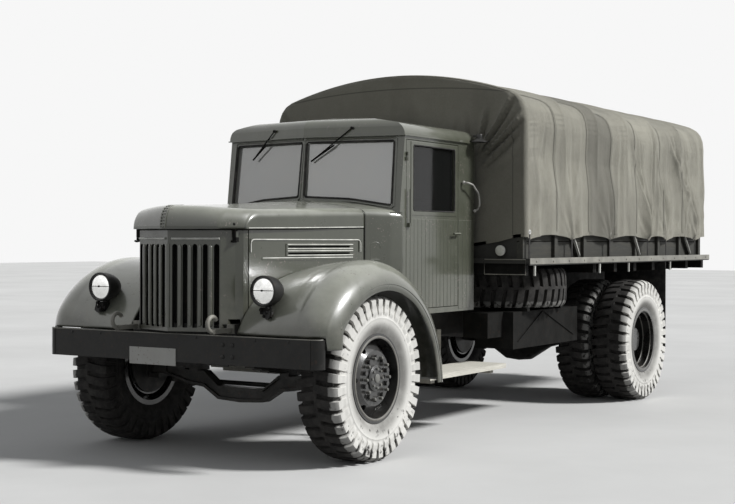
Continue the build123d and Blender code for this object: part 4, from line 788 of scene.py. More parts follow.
@dataclass
class RoadTyre:
    """Herringbone tyre: a tread cut by two staggered rows of slots, with ribs down its walls."""

    radius: float = 0.56
    half_width: float = 0.16
    bead: float = 0.283
    tread: float = 0.030
    rib: float = 0.009
    slots: int = 38
    slant: float = 0.022
    rows: int = 62

    def section(self) -> tuple[np.ndarray, np.ndarray]:
        """Carcass from bead to bead as points (x, r) on a smoothed outline, with its normals."""
        w, base = self.half_width - self.rib, self.radius - self.tread
        half = np.array([
            (0.0, base + 0.002), (0.06, base), (0.105, base - 0.003), (0.134, base - 0.014),
            (0.146, base - 0.040), (w, 0.440), (w + 0.004, 0.405), (w + 0.003, 0.375), (w - 0.004, 0.345),
            (w - 0.018, 0.315), (w - 0.030, 0.296), (0.118, self.bead),
        ])
        run = np.concatenate([half[::-1] * (-1, 1), half[1:]])
        length = np.concatenate([[0], np.cumsum(np.linalg.norm(np.diff(run, axis=0), axis=1))])
        middle = length[-1] / 2
        outward = np.concatenate([[0], np.cumsum(np.linalg.norm(np.diff(half, axis=0), axis=1))])
        rings = np.interp([-0.414, -0.405, -0.396], -half[:, 1], outward)
        extra = np.concatenate([[0.008, 0.012, 0.020], rings])
        even = np.linspace(0, length[-1], self.rows)
        even = np.sort(np.concatenate([even, middle + extra, middle - extra]))
        curve = np.stack([np.interp(even, length, run[:, 0]), np.interp(even, length, run[:, 1])], -1)
        blur = curve.copy()
        blur[1:-1] = (curve[:-2] + 2 * curve[1:-1] + curve[2:]) / 4
        along = np.gradient(blur, axis=0)
        normal = np.stack([-along[:, 1], along[:, 0]], -1)
        normal /= np.linalg.norm(normal, axis=1)[:, None]
        return blur, normal

    def shape(self, chalk: float) -> tuple[Shape, dict[str, np.ndarray]]:
        """Tyre about the X axis, outboard towards +X.

        The height above the carcass is the tread depth over the crown, minus a
        slot whose share of each pitch is fixed, and it falls to a low rib on the
        wall. The left row of slots is half a pitch behind the right row, and both
        stop short of the middle.

        Args:
            chalk: how much of the outboard wall is whitewashed, from 0 to 1.

        Returns:
            The shape, with its whitewash and its grime per vertex.
        """
        curve, normal = self.section()
        pitch = 2 * math.pi / self.slots
        share = np.array([0.0, 0.10, 0.14, 0.30, 0.44, 0.48, 0.60, 0.64, 0.80, 0.94, 0.98])
        phase = (np.arange(self.slots)[:, None] + share[None]).reshape(-1) * pitch
        part = np.tile(share, self.slots)
        x, r = curve[:, 0], curve[:, 1]
        shear = self.slant * np.clip(np.abs(x) / 0.13, 0, 1.15) / self.radius
        slot_left = ((part > 0.12) & (part < 0.46)).astype(float)
        slot_right = ((part > 0.62) & (part < 0.96)).astype(float)
        slot = np.where(x[None] > 0, slot_left[:, None], slot_right[:, None])
        slot = slot * smooth_step(np.abs(x), 0.008, 0.020)[None]
        crown = self.tread * smooth_step(r, self.radius - 0.100, self.radius - 0.052)
        rib = self.rib * smooth_step(r, 0.418, 0.440)
        level = np.maximum(crown, rib)
        height = level[None] * (1 - slot)
        px = np.clip(x[None] + normal[None, :, 0] * height, -self.half_width, self.half_width)
        pr = np.minimum(r[None] + normal[None, :, 1] * height, self.radius - 0.0005)
        moulding = 0.0022 * np.exp(-(((r - 0.405) / 0.006) ** 2))
        px = np.clip(px + np.sign(x)[None] * moulding[None], -self.half_width, self.half_width)
        angle = phase[:, None] + shear[None]
        points = np.stack([px, -pr * np.sin(angle), pr * np.cos(angle)], -1)
        body = grid(points, True, False)
        seat = self.bead - 0.002
        inner = lathe([(0.118, self.bead), (0.10, seat), (-0.10, seat), (-0.118, self.bead)], RIM_SIDES)
        wall = smooth_step(px, 0.088, 0.122) * (1 - 0.75 * slot * smooth_step(pr, 0.46, 0.50))
        coat = chalk * wall * smooth_step(pr, 0.288, 0.30)
        grime = smooth_step(-pr, -0.40, -0.33) * (px > 0) + smooth_step(pr, 0.515, 0.56) * 0.6
        spare = np.zeros(len(inner.points))
        numbers = {
            "chalk": np.concatenate([coat.reshape(-1), spare]),
            "grime": np.concatenate([grime.reshape(-1), spare]),
        }
        return body + inner, numbers


@dataclass
class Wheels:
    """All six road wheels and the spare: their tyres, bolts and rim rings."""

    shop: Workshop
    nut_circle: float = 0.142
    hub_face: float = 0.130

    def build(self) -> None:
        """Dress the wheels and replace the tyres."""
        tyre = RoadTyre()
        white = tyre.shape(1.0)
        dusty = tyre.shape(0.4)
        for side in Side:
            sign, word = side.value, side.word
            front, rear = f"front_tyre_{word}", f"rear_tyres_{word}"
            centre = box_centre(front)
            self.tyre(f"front_tread_{word}", centre.x, centre, white, side, f"front_wheel_{word}", (front,))
            low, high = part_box(rear)
            centre = (low + high) / 2
            ends = (high.x, low.x) if side is Side.LEFT else (low.x, high.x)
            rows = (
                ("outer", ends[0] - sign * tyre.half_width, white, (rear,)),
                ("inner", ends[1] + sign * tyre.half_width, dusty, ()),
            )
            for name, x, made, nodes in rows:
                self.tyre(f"rear_{name}_tread_{word}", x, centre, made, side, f"rear_wheels_{word}", nodes)
            self.shop.dress(WHEEL_STEEL, f"front_wheel_{word}", f"rear_wheel_{word}")
            self.hub_bolts(side)
        self.spare(dusty)

    def tyre(
        self,
        name: str,
        x: float,
        centre: Vector,
        made: tuple[Shape, dict[str, np.ndarray]],
        side: Side,
        body: str,
        nodes: tuple[str, ...],
    ) -> None:
        """Put a tyre at an X, its outboard wall away from the truck's middle."""
        placed = side.of(made[0]).moved((x, centre.y, centre.z))
        self.shop.piece(name, placed, body, "tyre_rubber", TYRE, nodes, TYRE_EDGE, made[1])

    def hub_bolts(self, side: Side) -> None:
        """Small hexagon bolts round the front hub cap, studs through the nuts, and the rims' rings."""
        centre = box_centre(f"front_tyre_{side.word}")
        face = self.hub_face
        ring = hexagon(0.010, 0.017).moved((face, 0.064, 0)).spun(8)
        ring = ring + disc([(face, 0.030), (face + 0.004, 0.030), (face + 0.008, 0.024)], 32)
        stud = disc([(0.120, 0.011), (0.146, 0.011), (0.149, 0.008)], 12)
        stud = stud.moved((0, self.nut_circle, 0)).spun(10)
        edge = [(0.128, 0.268), (0.134, 0.270), (0.137, 0.277), (0.134, 0.285), (0.128, 0.286)]
        rows = (("hub_bolts", ring + stud, NUT_STEEL), ("rim_ring", lathe(edge, RIM_SIDES), RIM_EDGE))
        for name, shape, finish in rows:
            placed = side.of(shape).moved(centre)
            self.shop.piece(f"{name}_{side.word}", placed, f"front_wheel_{side.word}", "wheel_paint", finish)
        low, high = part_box(f"rear_tyres_{side.word}")
        rear = (low + high) / 2
        rings = Shape.empty()
        for x, r in ((0.130, 0.282), (0.100, 0.268), (0.030, 0.262)):
            edge = [(x - 0.006, r - 0.010), (x, r - 0.012), (x + 0.004, r - 0.006), (x + 0.002, r + 0.001)]
            rings = rings + lathe(edge, RIM_SIDES)
        reach = high.x if side is Side.LEFT else -low.x
        rings = side.of(rings.moved((reach - 0.160, rear.y, rear.z)))
        body = f"rear_wheels_{side.word}"
        self.shop.piece(f"rear_rim_rings_{side.word}", rings, body, "wheel_paint", RIM_EDGE)

    def spare(self, made: tuple[Shape, dict[str, np.ndarray]]) -> None:
        """Spare tyre lying flat under the bed."""
        flat = made[0].turned(FLAT).moved(box_centre("spare_tyre"))
        nodes = ("spare_tyre",)
        self.shop.piece("spare_tread", flat, "chassis", "tyre_rubber", TYRE, nodes, TYRE_EDGE, made[1])
        self.shop.dress(WHEEL_STEEL, "spare_rim")


@dataclass
class CanvasCover:
    """Duck cover in one sheet: a front wall, and a top and sides that sag between the hoops.

    The cut fields are the sheet as it is cut: its girth over a hoop with both
    hems, its run over the bed with its slack, and the area of its front wall;
    they are not used.
    """

    shop: Workshop
    cut_girth: float = 4.65
    cut_run: float = 4.43
    wall_cut: float = 3.35
    hem: float = 1.518
    scallop: float = 0.045
    corner: float = 0.036
    belt: float = 1.960
    hoop_inset: float = 0.02
    turned_hem: float = 0.022
    tie_fold: float = 0.03
    fold_height: float = 0.010
    fold_pitch: float = 0.31
    pleat_height: float = 0.008
    pleat_pitch: float = 0.27
    ray_height: float = 0.010
    crease: float = 0.004
    hoop_ridge: float = 0.005
    across: int = 208
    along: int = 374
    deep: int = 88
    sags: tuple[float, ...] = (0.050, 0.038, 0.060, 0.046, 0.056, 0.042)
    ties: tuple[float, ...] = (1.95, 2.149, 2.987, 3.832, 4.787, 5.295, 6.16, 6.80)
    seam_places: tuple[float, ...] = (2.675, 3.353, 3.935, 4.507, 5.189, 5.724)
    pleats: tuple[tuple[float, float, float, float], ...] = (
        (4.36, 4.76, 0.022, 0.030), (4.60, 4.74, 0.016, 0.022), (4.11, 3.98, 0.026, 0.016),
        (4.99, 5.24, 0.022, 0.030), (5.07, 5.02, 0.018, 0.018), (5.49, 6.14, 0.026, 0.034),
        (5.59, 5.76, 0.018, 0.020), (5.47, 5.33, 0.016, 0.020), (4.92, 4.83, 0.018, 0.022),
        (2.97, 2.99, 0.022, 0.014), (2.80, 2.96, 0.018, 0.012), (3.22, 3.02, 0.020, 0.014),
        (3.70, 3.81, 0.020, 0.016), (5.90, 6.10, 0.018, 0.018), (6.02, 5.84, 0.020, 0.018),
        (2.45, 2.30, 0.026, 0.010),
    )

    def __post_init__(self) -> None:
        """Read the cover's box and the hoops' places from the frame."""
        low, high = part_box("canvas_cover")
        self.front, self.rear = low.y + 0.004, high.y - 0.004
        self.half, self.crown = high.x, high.z
        first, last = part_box("hoops")
        self.hoops = np.linspace(first.y + self.hoop_inset, last.y - self.hoop_inset, 7)
        self.tie_places = np.array(self.ties) + FRONT_AXLE_Y
        x = self.half
        start = [(x, self.hem - 0.06), (x - 0.003, 1.8), (x - 0.005, self.belt)]
        start += [(x - 0.008, 2.2), (x - 0.008, 2.45)]
        knee = [(x - 0.020, 2.535), (x - 0.044, 2.598), (x - 0.088, 2.650), (x - 0.150, 2.685)]
        t = np.linspace(0, 1, 15)[1:]
        reach, rise = knee[-1][0], self.crown - knee[-1][1]
        arch = np.stack([reach * (1 - t), knee[-1][1] + rise * (1 - (1 - t) ** 2)], -1)
        self.half_section = np.vstack([start, knee, arch])
        steps = np.linalg.norm(np.diff(self.half_section, axis=0), axis=1)
        self.lengths = np.concatenate([[0], np.cumsum(steps)])

    def surface(self, y: np.ndarray, v: np.ndarray, out: float = 0.0) -> np.ndarray:
        """Points of the top and sides.

        v runs from -1 at the right hem over the crown at 0 to 1 at the left hem.
        Between two hoops the cloth sinks by a parabola, deepest at the crown and
        half way up the side. Upright folds grow towards the hem, ridges fan from
        each tie, and the hem rises between the ties.

        Args:
            y: place along the truck.
            v: place across, from -1 to 1.
            out: how far outside the cloth the points lie.

        Returns:
            Array of points with the shape of y and v.
        """
        half, length = self.half_section, self.lengths
        total = length[-1]
        tie = np.clip(np.searchsorted(self.tie_places, y) - 1, 0, len(self.tie_places) - 2)
        before, after = self.tie_places[tie], self.tie_places[tie + 1]
        rise = self.scallop * np.sin(math.pi * np.clip((y - before) / (after - before), 0, 1)) ** 0.7
        start = self.tie_fold + rise
        run = start + (1 - np.abs(v)) * (total - start)
        x = np.interp(run, length, half[:, 0])
        z = np.interp(run, length, half[:, 1])
        eps = 0.03
        dx = np.interp(run + eps, length, half[:, 0]) - np.interp(run - eps, length, half[:, 0])
        dz = np.interp(run + eps, length, half[:, 1]) - np.interp(run - eps, length, half[:, 1])
        size = np.hypot(dx, dz)
        nx, nz = dz / size, -dx / size
        bay = np.clip(np.searchsorted(self.hoops, y) - 1, 0, len(self.hoops) - 2)
        left, right = self.hoops[bay], self.hoops[bay + 1]
        between = np.clip((y - left) / (right - left), 0, 1)
        rest = self.belt - self.hem
        places = (0, rest, rest + 0.26, rest + 0.50, rest + 0.68, rest + 0.80, total - 0.4, total)
        share = np.interp(run, places, (0, 0.02, 0.68, 0.42, 0.72, 0.92, 1, 1))
        sag = 4 * between * (1 - between) * np.array(self.sags)[bay] * share
        low = np.exp(-np.maximum(run - start, 0) / 0.55)
        side = 1 - smooth_step(run, 0.9, 1.3)
        sign = np.sign(v) + (v == 0)
        wave = 1.7 * np.sin(1.9 * y) + 0.6 * run * sign
        folds = self.fold_height * low * np.sin(2 * math.pi * y / self.fold_pitch + wave)
        sharp = np.abs(np.sin(math.pi * y / self.pleat_pitch + 1.3 * np.sin(1.1 * y) - 0.5 * run)) ** 6
        folds = folds + self.pleat_height * side * sharp * (0.4 + 0.6 * np.sin(2.7 * y + 1) ** 2)
        rays = np.zeros(np.broadcast(run, y).shape)
        for number, place in enumerate(self.tie_places):
            slope = (y - place) / (0.08 + np.maximum(run - start, 0))
            near = np.exp(-((slope / 0.8) ** 2)) * np.exp(-np.maximum(run - start, 0) / 0.45)
            rays = rays + self.ray_height * near * np.cos(12 * slope + number + 0.7 * sign)
        creases = self.crease * np.sin(9.0 * y + 5.0 * z * sign) * np.sin(4.3 * z - 3.0 * y) * (0.3 + side)
        fall = smooth_step(-run, -1.12, -0.10)
        for top_y, low_y, width, height in self.pleats:
            path = FRONT_AXLE_Y + top_y + (low_y - top_y) * fall + 0.02 * np.sin(5 * run + top_y)
            across = (y - path) / (1.35 * width * (0.7 + 0.6 * fall))
            swell = 1.1 * height * smooth_step(-run, -1.2, -0.85) * (0.45 + 0.55 * fall)
            swell = swell * smooth_step(run, 0.02, 0.1)
            bell = np.exp(-(across**2) / (0.5 + np.abs(across)))
            folds = folds + swell * (bell - 0.7 * np.exp(-(((across - 2.0) / 1.1) ** 2)))
        edge = np.minimum(np.abs(y - left), np.abs(y - right))
        ridge = self.hoop_ridge * np.exp(-((edge / 0.022) ** 2)) * smooth_step(run, 0.35, 0.55)
        push = folds + rays + creases + ridge - sag
        push = np.maximum(push, -0.014 - 10.0 * smooth_step(z, self.belt - 0.12, self.belt + 0.05))
        push = out + push * smooth_step(y, self.front + 0.01, self.front + 0.16)
        return np.stack([sign * (x + nx * push), y + 0 * x, z + nz * push], -1)

    def border_gap(self, x: np.ndarray, z: np.ndarray, border: np.ndarray) -> np.ndarray:
        """Distance of each point of the front wall from the nearest point of its border."""
        ends = border[:, (0, 2)]
        dx = x[..., None] - ends[:, 0]
        dz = z[..., None] - ends[:, 1]
        return np.sqrt((dx**2 + dz**2).min(axis=-1))

    def fan(self, x: np.ndarray, z: np.ndarray) -> np.ndarray:
        """Folds of the front wall: ridges that fan up from the cab roof's rear corners.

        Each ridge is a narrow bell across its direction, and it swells and dies
        along its length.
        """
        push = 0.008 * np.sin(4.6 * x + 1.0) * np.sin(2.9 * z + 0.5 * x)
        folds = {
            1: (
                (0.745, 2.16, 56, 0.74, 0.052), (0.770, 2.16, 49, 0.66, 0.030),
                (0.775, 2.14, 43, 0.70, 0.056), (0.770, 2.04, 45, 0.64, 0.044),
                (0.770, 1.93, 41, 0.54, 0.016), (0.775, 2.20, 82, 0.42, 0.040),
                (0.700, 2.22, 104, 0.34, 0.022), (0.560, 2.24, 96, 0.28, 0.012),
            ),
            -1: (
                (0.75, 2.18, 52, 0.70, 0.045), (0.78, 2.12, 42, 0.60, 0.036), (0.77, 2.20, 80, 0.40, 0.030),
            ),
        }
        for side, rows in folds.items():
            for hub_x, hub_z, turn, reach, height in rows:
                dx, dz = side * x - hub_x, z - hub_z
                away = np.hypot(dx, dz)
                angle = np.degrees(np.arctan2(dz, dx)) - turn
                bend = 0.030 * np.sin(5.0 * away)
                line = (away * np.sin(np.radians(np.clip(angle, -85, 85))) + bend) / (0.010 + 0.030 * away)
                bell = np.exp(-np.abs(line)) - 0.7 * np.exp(-(((line + 1.6) / 0.8) ** 2))
                along = smooth_step(away, 0.0, 0.14) * (1 - smooth_step(away, reach * 0.55, reach))
                push = push - height * bell * along * (np.abs(angle) < 85)
        return push

    def front_wall(self, border: np.ndarray) -> np.ndarray:
        """Front wall as rows of points from the middle line out to the border.

        A row's points lie on lines from the border to the middle line. Near the
        border the cloth rolls back by a quarter circle of the corner's radius.
        """
        depth = np.linspace(0, 1, self.deep)[:, None] ** 1.5
        v = np.linspace(-1, 1, self.across)[None]
        bx, bz = border[None, :, 0], border[None, :, 2]
        middle = bz[:, :1] + (self.crown - bz[:, :1]) * (1 - np.abs(v)) ** 0.9
        x = bx * (1 - depth)
        z = bz + (middle - bz) * depth
        gap = self.border_gap(x, z, border)
        r = self.corner
        roll = r - np.sqrt(np.maximum(r**2 - (r - np.minimum(gap, r)) ** 2, 0))
        hemline = 0.073 * (1 - np.clip((np.abs(x) - 0.76) / (self.half - 0.76), 0, 1))
        foot = smooth_step(-z, -(self.hem + 0.35), -self.hem)
        z = z - hemline * foot * smooth_step(gap, 0.0, 0.25)
        push = self.fan(x, z) * smooth_step(gap, 0.0, 0.07)
        push = push - 0.012 * foot * np.cos(13 * x) * smooth_step(gap, 0.0, 0.1)
        push = np.minimum(push, 0.003 + 0.05 * smooth_step(z, 1.90, 2.02))
        y = self.front + roll + push
        return np.stack([x, y, z], -1)[::-1]

    def cover(self) -> bpy.types.Object:
        """The whole sheet, from the middle of the front wall to the rear hem."""
        start = self.front + self.corner
        y = start + (self.rear - start) * np.linspace(0, 1, self.along)[:, None]
        v = np.linspace(-1, 1, self.across)[None]
        top = self.surface(y + 0 * v, v + 0 * y)
        wall = self.front_wall(top[0])
        points = np.concatenate([wall[:-1], top])
        turned = points[:, (0, -1)] - np.array([[0.004, 0, -0.002], [-0.004, 0, -0.002]]) * (-1, 1, 1)
        folded = turned + np.array([0, 0, self.turned_hem])
        rows = [folded[:, :1], turned[:, :1], points, turned[:, 1:], folded[:, 1:]]
        points = np.concatenate(rows, axis=1)
        shape = grid(points)
        fold = np.arange(len(shape.points))
        wide = points.shape[1]
        fold[:wide] = np.minimum(np.arange(wide), wide - 1 - np.arange(wide))
        shape = Shape(shape.points, fold[shape.quads], shape.tris)
        shape.points[:wide, 0] = 0.0
        corners = [len(set(row)) == 4 for row in shape.quads.tolist()]
        shape = Shape(shape.points, shape.quads[corners], shape.tris)
        place = points[..., 1]
        darker = smooth_step(place, FRONT_AXLE_Y + 3.345, FRONT_AXLE_Y + 3.36)
        darker = darker * (1 - smooth_step(place, FRONT_AXLE_Y + 3.925, FRONT_AXLE_Y + 3.94))
        # Painted shade: the front wall, and the top just behind it, are darkened through the panel value.
        front_shade = smooth_step(-place, -(self.front + 0.06), -(self.front + 0.03))
        panel = np.maximum(darker, 0.45 * front_shade).reshape(-1)
        made = self.cloth("canvas_top", shape, points, ("canvas_cover",), panel)
        return made

    def cloth(
        self, name: str, shape: Shape, points: np.ndarray, nodes: tuple[str, ...], panel: np.ndarray
    ) -> bpy.types.Object:
        """Make a cloth piece from a grid, with a UV map in metres along and across it."""
        made = self.shop.piece(name, shape, "chassis", "canvas", CANVAS, nodes, SKIN_EDGE, {"panel": panel})
        steps = [np.linalg.norm(np.diff(points, axis=axis), axis=2).cumsum(axis) for axis in (0, 1)]
        along = np.pad(steps[0], ((1, 0), (0, 0)))
        across = np.pad(steps[1], ((0, 0), (1, 0)))
        flat = np.stack([across, along], -1).reshape(-1, 2)
        loops = np.zeros(len(made.data.loops), int)
        made.data.loops.foreach_get("vertex_index", loops)
        layer = made.data.uv_layers.new(name="UVMap")
        layer.data.foreach_set("uv", flat[loops].astype(np.float32).reshape(-1))
        return made

    def seams(self) -> None:
        """Lapped seams across the cover, as narrow strips that lie on the cloth."""
        rows = np.linspace(-0.985, 0.985, 170)[None]
        for number, place in enumerate(self.seam_places):
            y = FRONT_AXLE_Y + place + np.linspace(-0.014, 0.014, 3)[:, None]
            points = self.surface(y + 0 * rows, rows + 0 * y, 0.0035)
            panel = np.full(points.shape[0] * points.shape[1], 0.5)
            self.cloth(f"canvas_seam_{number + 1}", grid(points), points, (), panel)

    def straps(self) -> None:
        """Webbing straps from the hem's eyelets to the edge rail, with a bright pin at each."""
        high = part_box("bed_sides")[0].z
        places = self.tie_places[1:-1]
        x = self.half
        strap = box((x - 0.003, -0.012, high - 0.02), (x + 0.001, 0.012, self.hem + 0.05))
        eyelet = lathe([(0.000, 0.010), (0.004, 0.012), (0.004, 0.018), (0.000, 0.020)], 20)
        eyelet = eyelet.moved((x + 0.001, 0, self.hem + 0.035))
        rows = (("straps", strap, FLAP, "canvas"), ("eyelets", eyelet, BRIGHT, "hoop_steel"))
        for name, shape, finish, slot in rows:
            pair = shape.repeated(spots(0, places, 0)).paired()
            self.shop.piece(f"canvas_{name}", pair, "chassis", slot, finish)

    def build(self) -> None:
        """Make the whole cover."""
        self.cover()
        self.seams()
        self.straps()


@dataclass
class Cab:
    """Planked wooden cab: boards, window frames, seals and fittings."""

    shop: Workshop
    board: float = 0.0585
    gap: float = 0.003
    proud: float = 0.0025
    screen_y: float = 0.706
    screen_z: float = SCREEN_Z
    vee: float = SCREEN_VEE
    rake: float = SCREEN_RAKE
    board_bevel: float = 0.0012
    pane: tuple[tuple[float, float], ...] = ((-28, 24), (-400, 6), (-735, -44), (-735, 437), (-28, 437))

    def build(self) -> None:
        """Dress the cab and add its boards, frames and seals."""
        self.shop.dress(PLANK_PAINT, "cab_shell", "door_left", "door_right")
        self.shop.dress(ROOF_PAINT, "cab_roof")
        self.shop.dress(SHADED_WINDOW_GLASS, "door_glass_left", "door_glass_right")
        self.shop.dress(SCREEN_GLASS_AND_REFLECTION, "cab_glass")
        self.handles()
        self.shop.dress(DARK_STEEL_AND_SHADE, "dashboard")
        self.shop.dress(CHASSIS_STEEL, "steering_wheel")
        self.boards()
        self.screen()
        self.door_frames()
        self.dials()

    def strips(self, x: float, y0: float, y1: float, z0: float, z1: float) -> Shape:
        """Row of upright boards that stands proud of a side wall."""
        count = max(1, round((y1 - y0) / self.board))
        step = (y1 - y0) / count
        one = box((x - 0.002, 0, z0), (x + self.proud, step - self.gap, z1))
        return one.repeated(spots(0, y0 + step * np.arange(count) + self.gap / 2, 0))

    def boards(self) -> None:
        """Boards on the doors and on the cab's quarters."""
        low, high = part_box("door_left")
        shell_low, shell_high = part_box("cab_shell")
        glass_low, glass_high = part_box("door_glass_left")
        front, rear = low.y + 0.003, high.y
        x = (glass_low.x + glass_high.x) / 2 + 0.020
        waist = glass_low.z - 0.062
        door = self.strips(x, front, rear - 0.002, low.z, waist)
        cab = self.strips(x, rear + 0.010, shell_high.y - 0.004, shell_low.z + 0.02, waist)
        cab = cab + self.strips(x, FRONT_AXLE_Y + COWL_END, front - 0.02, shell_low.z + 0.02, waist)
        for side in Side:
            name = f"door_boards_{side.word}"
            made = self.shop.piece(name, side.of(door), f"door_{side.word}", "body_paint", PLANK_PAINT)
            self.shop.bevel(made, self.board_bevel)
        made = self.shop.piece("cab_boards", cab.paired(), "chassis", "body_paint", PLANK_PAINT)
        self.shop.bevel(made, self.board_bevel)

    def on_screen(self, u: float, v: float, out: float) -> np.ndarray:
        """Point of the left windscreen plane, u and v in millimetres from its lower middle."""
        normal = np.array([-self.vee, 1, -self.rake])
        normal /= np.linalg.norm(normal)
        across = np.array([-1, -self.vee, 0])
        across /= np.linalg.norm(across)
        up = np.cross(normal, across)
        centre = np.array([0, self.screen_y + FRONT_AXLE_Y, self.screen_z])
        return centre + (across * u + up * v) / 1000 - normal * out

    def ring(self, points: list[np.ndarray], radius: float) -> Shape:
        """Round bar along a closed outline with eased corners."""
        line = []
        count = len(points)
        for i in range(count):
            before, here, after = points[i - 1], points[i], points[(i + 1) % count]
            for to, share in ((before, 0.045), (before, 0.012), (after, 0.012), (after, 0.045)):
                reach = np.linalg.norm(to - here)
                line.append(here + (to - here) * (share / max(reach, 0.1)))
        line.append(line[0])
        return tube(np.array(line), radius, 10)

    def screen(self) -> None:
        """Dark seals and painted frames round the windscreen's panes."""
        middle = np.mean(np.array(self.pane), axis=0)
        seal = self.ring([self.on_screen(u, v, 0.002) for u, v in self.pane], 0.0075)
        wide = []
        for u, v in self.pane:
            out_u = u + math.copysign(20, u - middle[0])
            wide.append((min(out_u, -14), v + math.copysign(22, v - middle[1])))
        bar = self.ring([self.on_screen(u, v, 0.001) for u, v in wide], 0.0065)
        self.shop.piece("screen_seals", seal.paired(), "chassis", "flap_rubber", FLAP)
        self.shop.piece("screen_frames", bar.paired(), "chassis", "body_paint", BODY_PAINT)

    def door_frames(self) -> None:
        """Raised frame and dark seal round each door's window, and studs by the hinge side."""
        low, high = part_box("door_glass_left")
        x = (low.x + high.x) / 2 + 0.020
        wide = 0.034
        bars = box((x - 0.001, low.y - wide, high.z), (x + 0.004, high.y + wide, high.z + 0.026))
        bars = bars + box((x - 0.001, low.y - wide, low.z - wide), (x + 0.004, high.y + wide, low.z))
        bars = bars + box((x - 0.001, low.y - wide, low.z), (x + 0.004, low.y, high.z))
        bars = bars + box((x - 0.001, high.y, low.z), (x + 0.004, high.y + wide, high.z))
        corners = [(low.y, low.z), (high.y, low.z), (high.y, high.z), (low.y, high.z)]
        seal = self.ring([np.array((x + 0.001, *corner)) for corner in corners], 0.006)
        door_low, door_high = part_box("door_left")
        heights = np.linspace(door_low.z + 0.08, low.z - 0.15, 9)
        studs = rivet(0.006).repeated(spots(x + 0.002, door_high.y - 0.03, heights))
        for side in Side:
            word, body = side.word, f"door_{side.word}"
            shape = side.of(bars + studs)
            made = self.shop.piece(f"door_frame_{word}", shape, body, "body_paint", PLANK_PAINT)
            self.shop.bevel(made, 0.0015)
            self.shop.piece(f"door_seal_{word}", side.of(seal), body, "flap_rubber", FLAP)

    def handles(self) -> None:
        """Bent grab handle and hooded corner lamp on each rear quarter."""
        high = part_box("cab_handles")[1]
        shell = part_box("cab_shell")[1]
        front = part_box("door_left")[1].y + 0.066
        foot = shell.y - 0.019
        out = shell.x + 0.040
        bends = [
            (shell.x - 0.012, front, 1.940), (shell.x + 0.024, front + 0.003, 1.939),
            (out, front + 0.030, 1.932), (out, front + 0.080, 1.921), (out, foot - 0.070, 1.893),
            (out, foot - 0.022, 1.860), (out, foot - 0.003, 1.815), (out, foot, 1.765),
            (shell.x + 0.020, foot, 1.730), (shell.x - 0.012, foot, 1.722),
        ]
        bar = tube(smooth_path(np.array(bends), 6), 0.0075, 12)
        plates = rivet(0.016)
        bar = bar + plates.moved((shell.x, front, 1.940)) + plates.moved((shell.x, foot, 1.722))
        x, y, top = high.x - 0.070, high.y - 0.070, high.z
        outline = [(0.0, 0.018), (0.0, 0.024), (-0.004, 0.026), (-0.030, 0.026), (-0.034, 0.034)]
        outline += [(-0.058, 0.068), (-0.061, 0.070), (-0.062, 0.066), (-0.040, 0.034), (-0.038, 0.0005)]
        lamp = disc([(z, r) for z, r in reversed(outline)], 40).turned(TO_TOP).moved((x, y, top))
        arm = box((shell.x - 0.001, y - 0.012, top - 0.020), (x, y + 0.012, top - 0.006))
        pair = (bar + lamp + arm).paired()
        self.shop.piece("grab_handles", pair, "chassis", "chassis_black", FITTINGS, ("cab_handles",))
        wipers = self.wiper(0.395, 0.070, 2.075) + self.wiper(-0.300, -0.530, 2.105)
        self.shop.piece("wipers", wipers, "chassis", "chassis_black", DARK_STEEL_AND_SHADE)

    def wiper(self, pivot_x: float, tip_x: float, tip_z: float) -> Shape:
        """Wiper that hangs from the roof's visor and leans over its pane."""
        before = self.screen_y + FRONT_AXLE_Y
        pivot = np.array([pivot_x, before + 0.040 + self.vee * abs(pivot_x), 2.318])
        tip = np.array([tip_x, before + 0.026 + self.vee * abs(tip_x), tip_z])
        arm = tube(np.linspace(pivot + (0, -0.014, 0), tip, 6), 0.005, 10)
        boss = tube(np.linspace(pivot + (0, -0.020, 0), pivot + (0, 0.003, 0), 3), 0.011, 14)
        top = tip + (pivot - tip) * 0.55
        return arm + boss + tube(np.linspace(tip + (0, -0.002, 0), top + (0, 0.002, -0.014), 6), 0.0065, 10)

    def dials(self) -> None:
        """Four round dials with bright rims on the dashboard."""
        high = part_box("dashboard")[1]
        ring = lathe([(0.0, 0.034), (0.005, 0.036), (0.006, 0.040), (0.0, 0.042)], 32)
        turned = ring.turned(TO_FRONT * np.array([[1], [-1], [1]]))
        dial = Shape(turned.points, turned.quads[:, ::-1], turned.tris)
        shape = Shape.empty()
        for x in (0.18, 0.29, 0.40, 0.51):
            shape = shape + dial.moved((x, high.y + 0.001, high.z - 0.07))
        self.shop.piece("dash_dials", shape, "chassis", "lamp", BRIGHT)


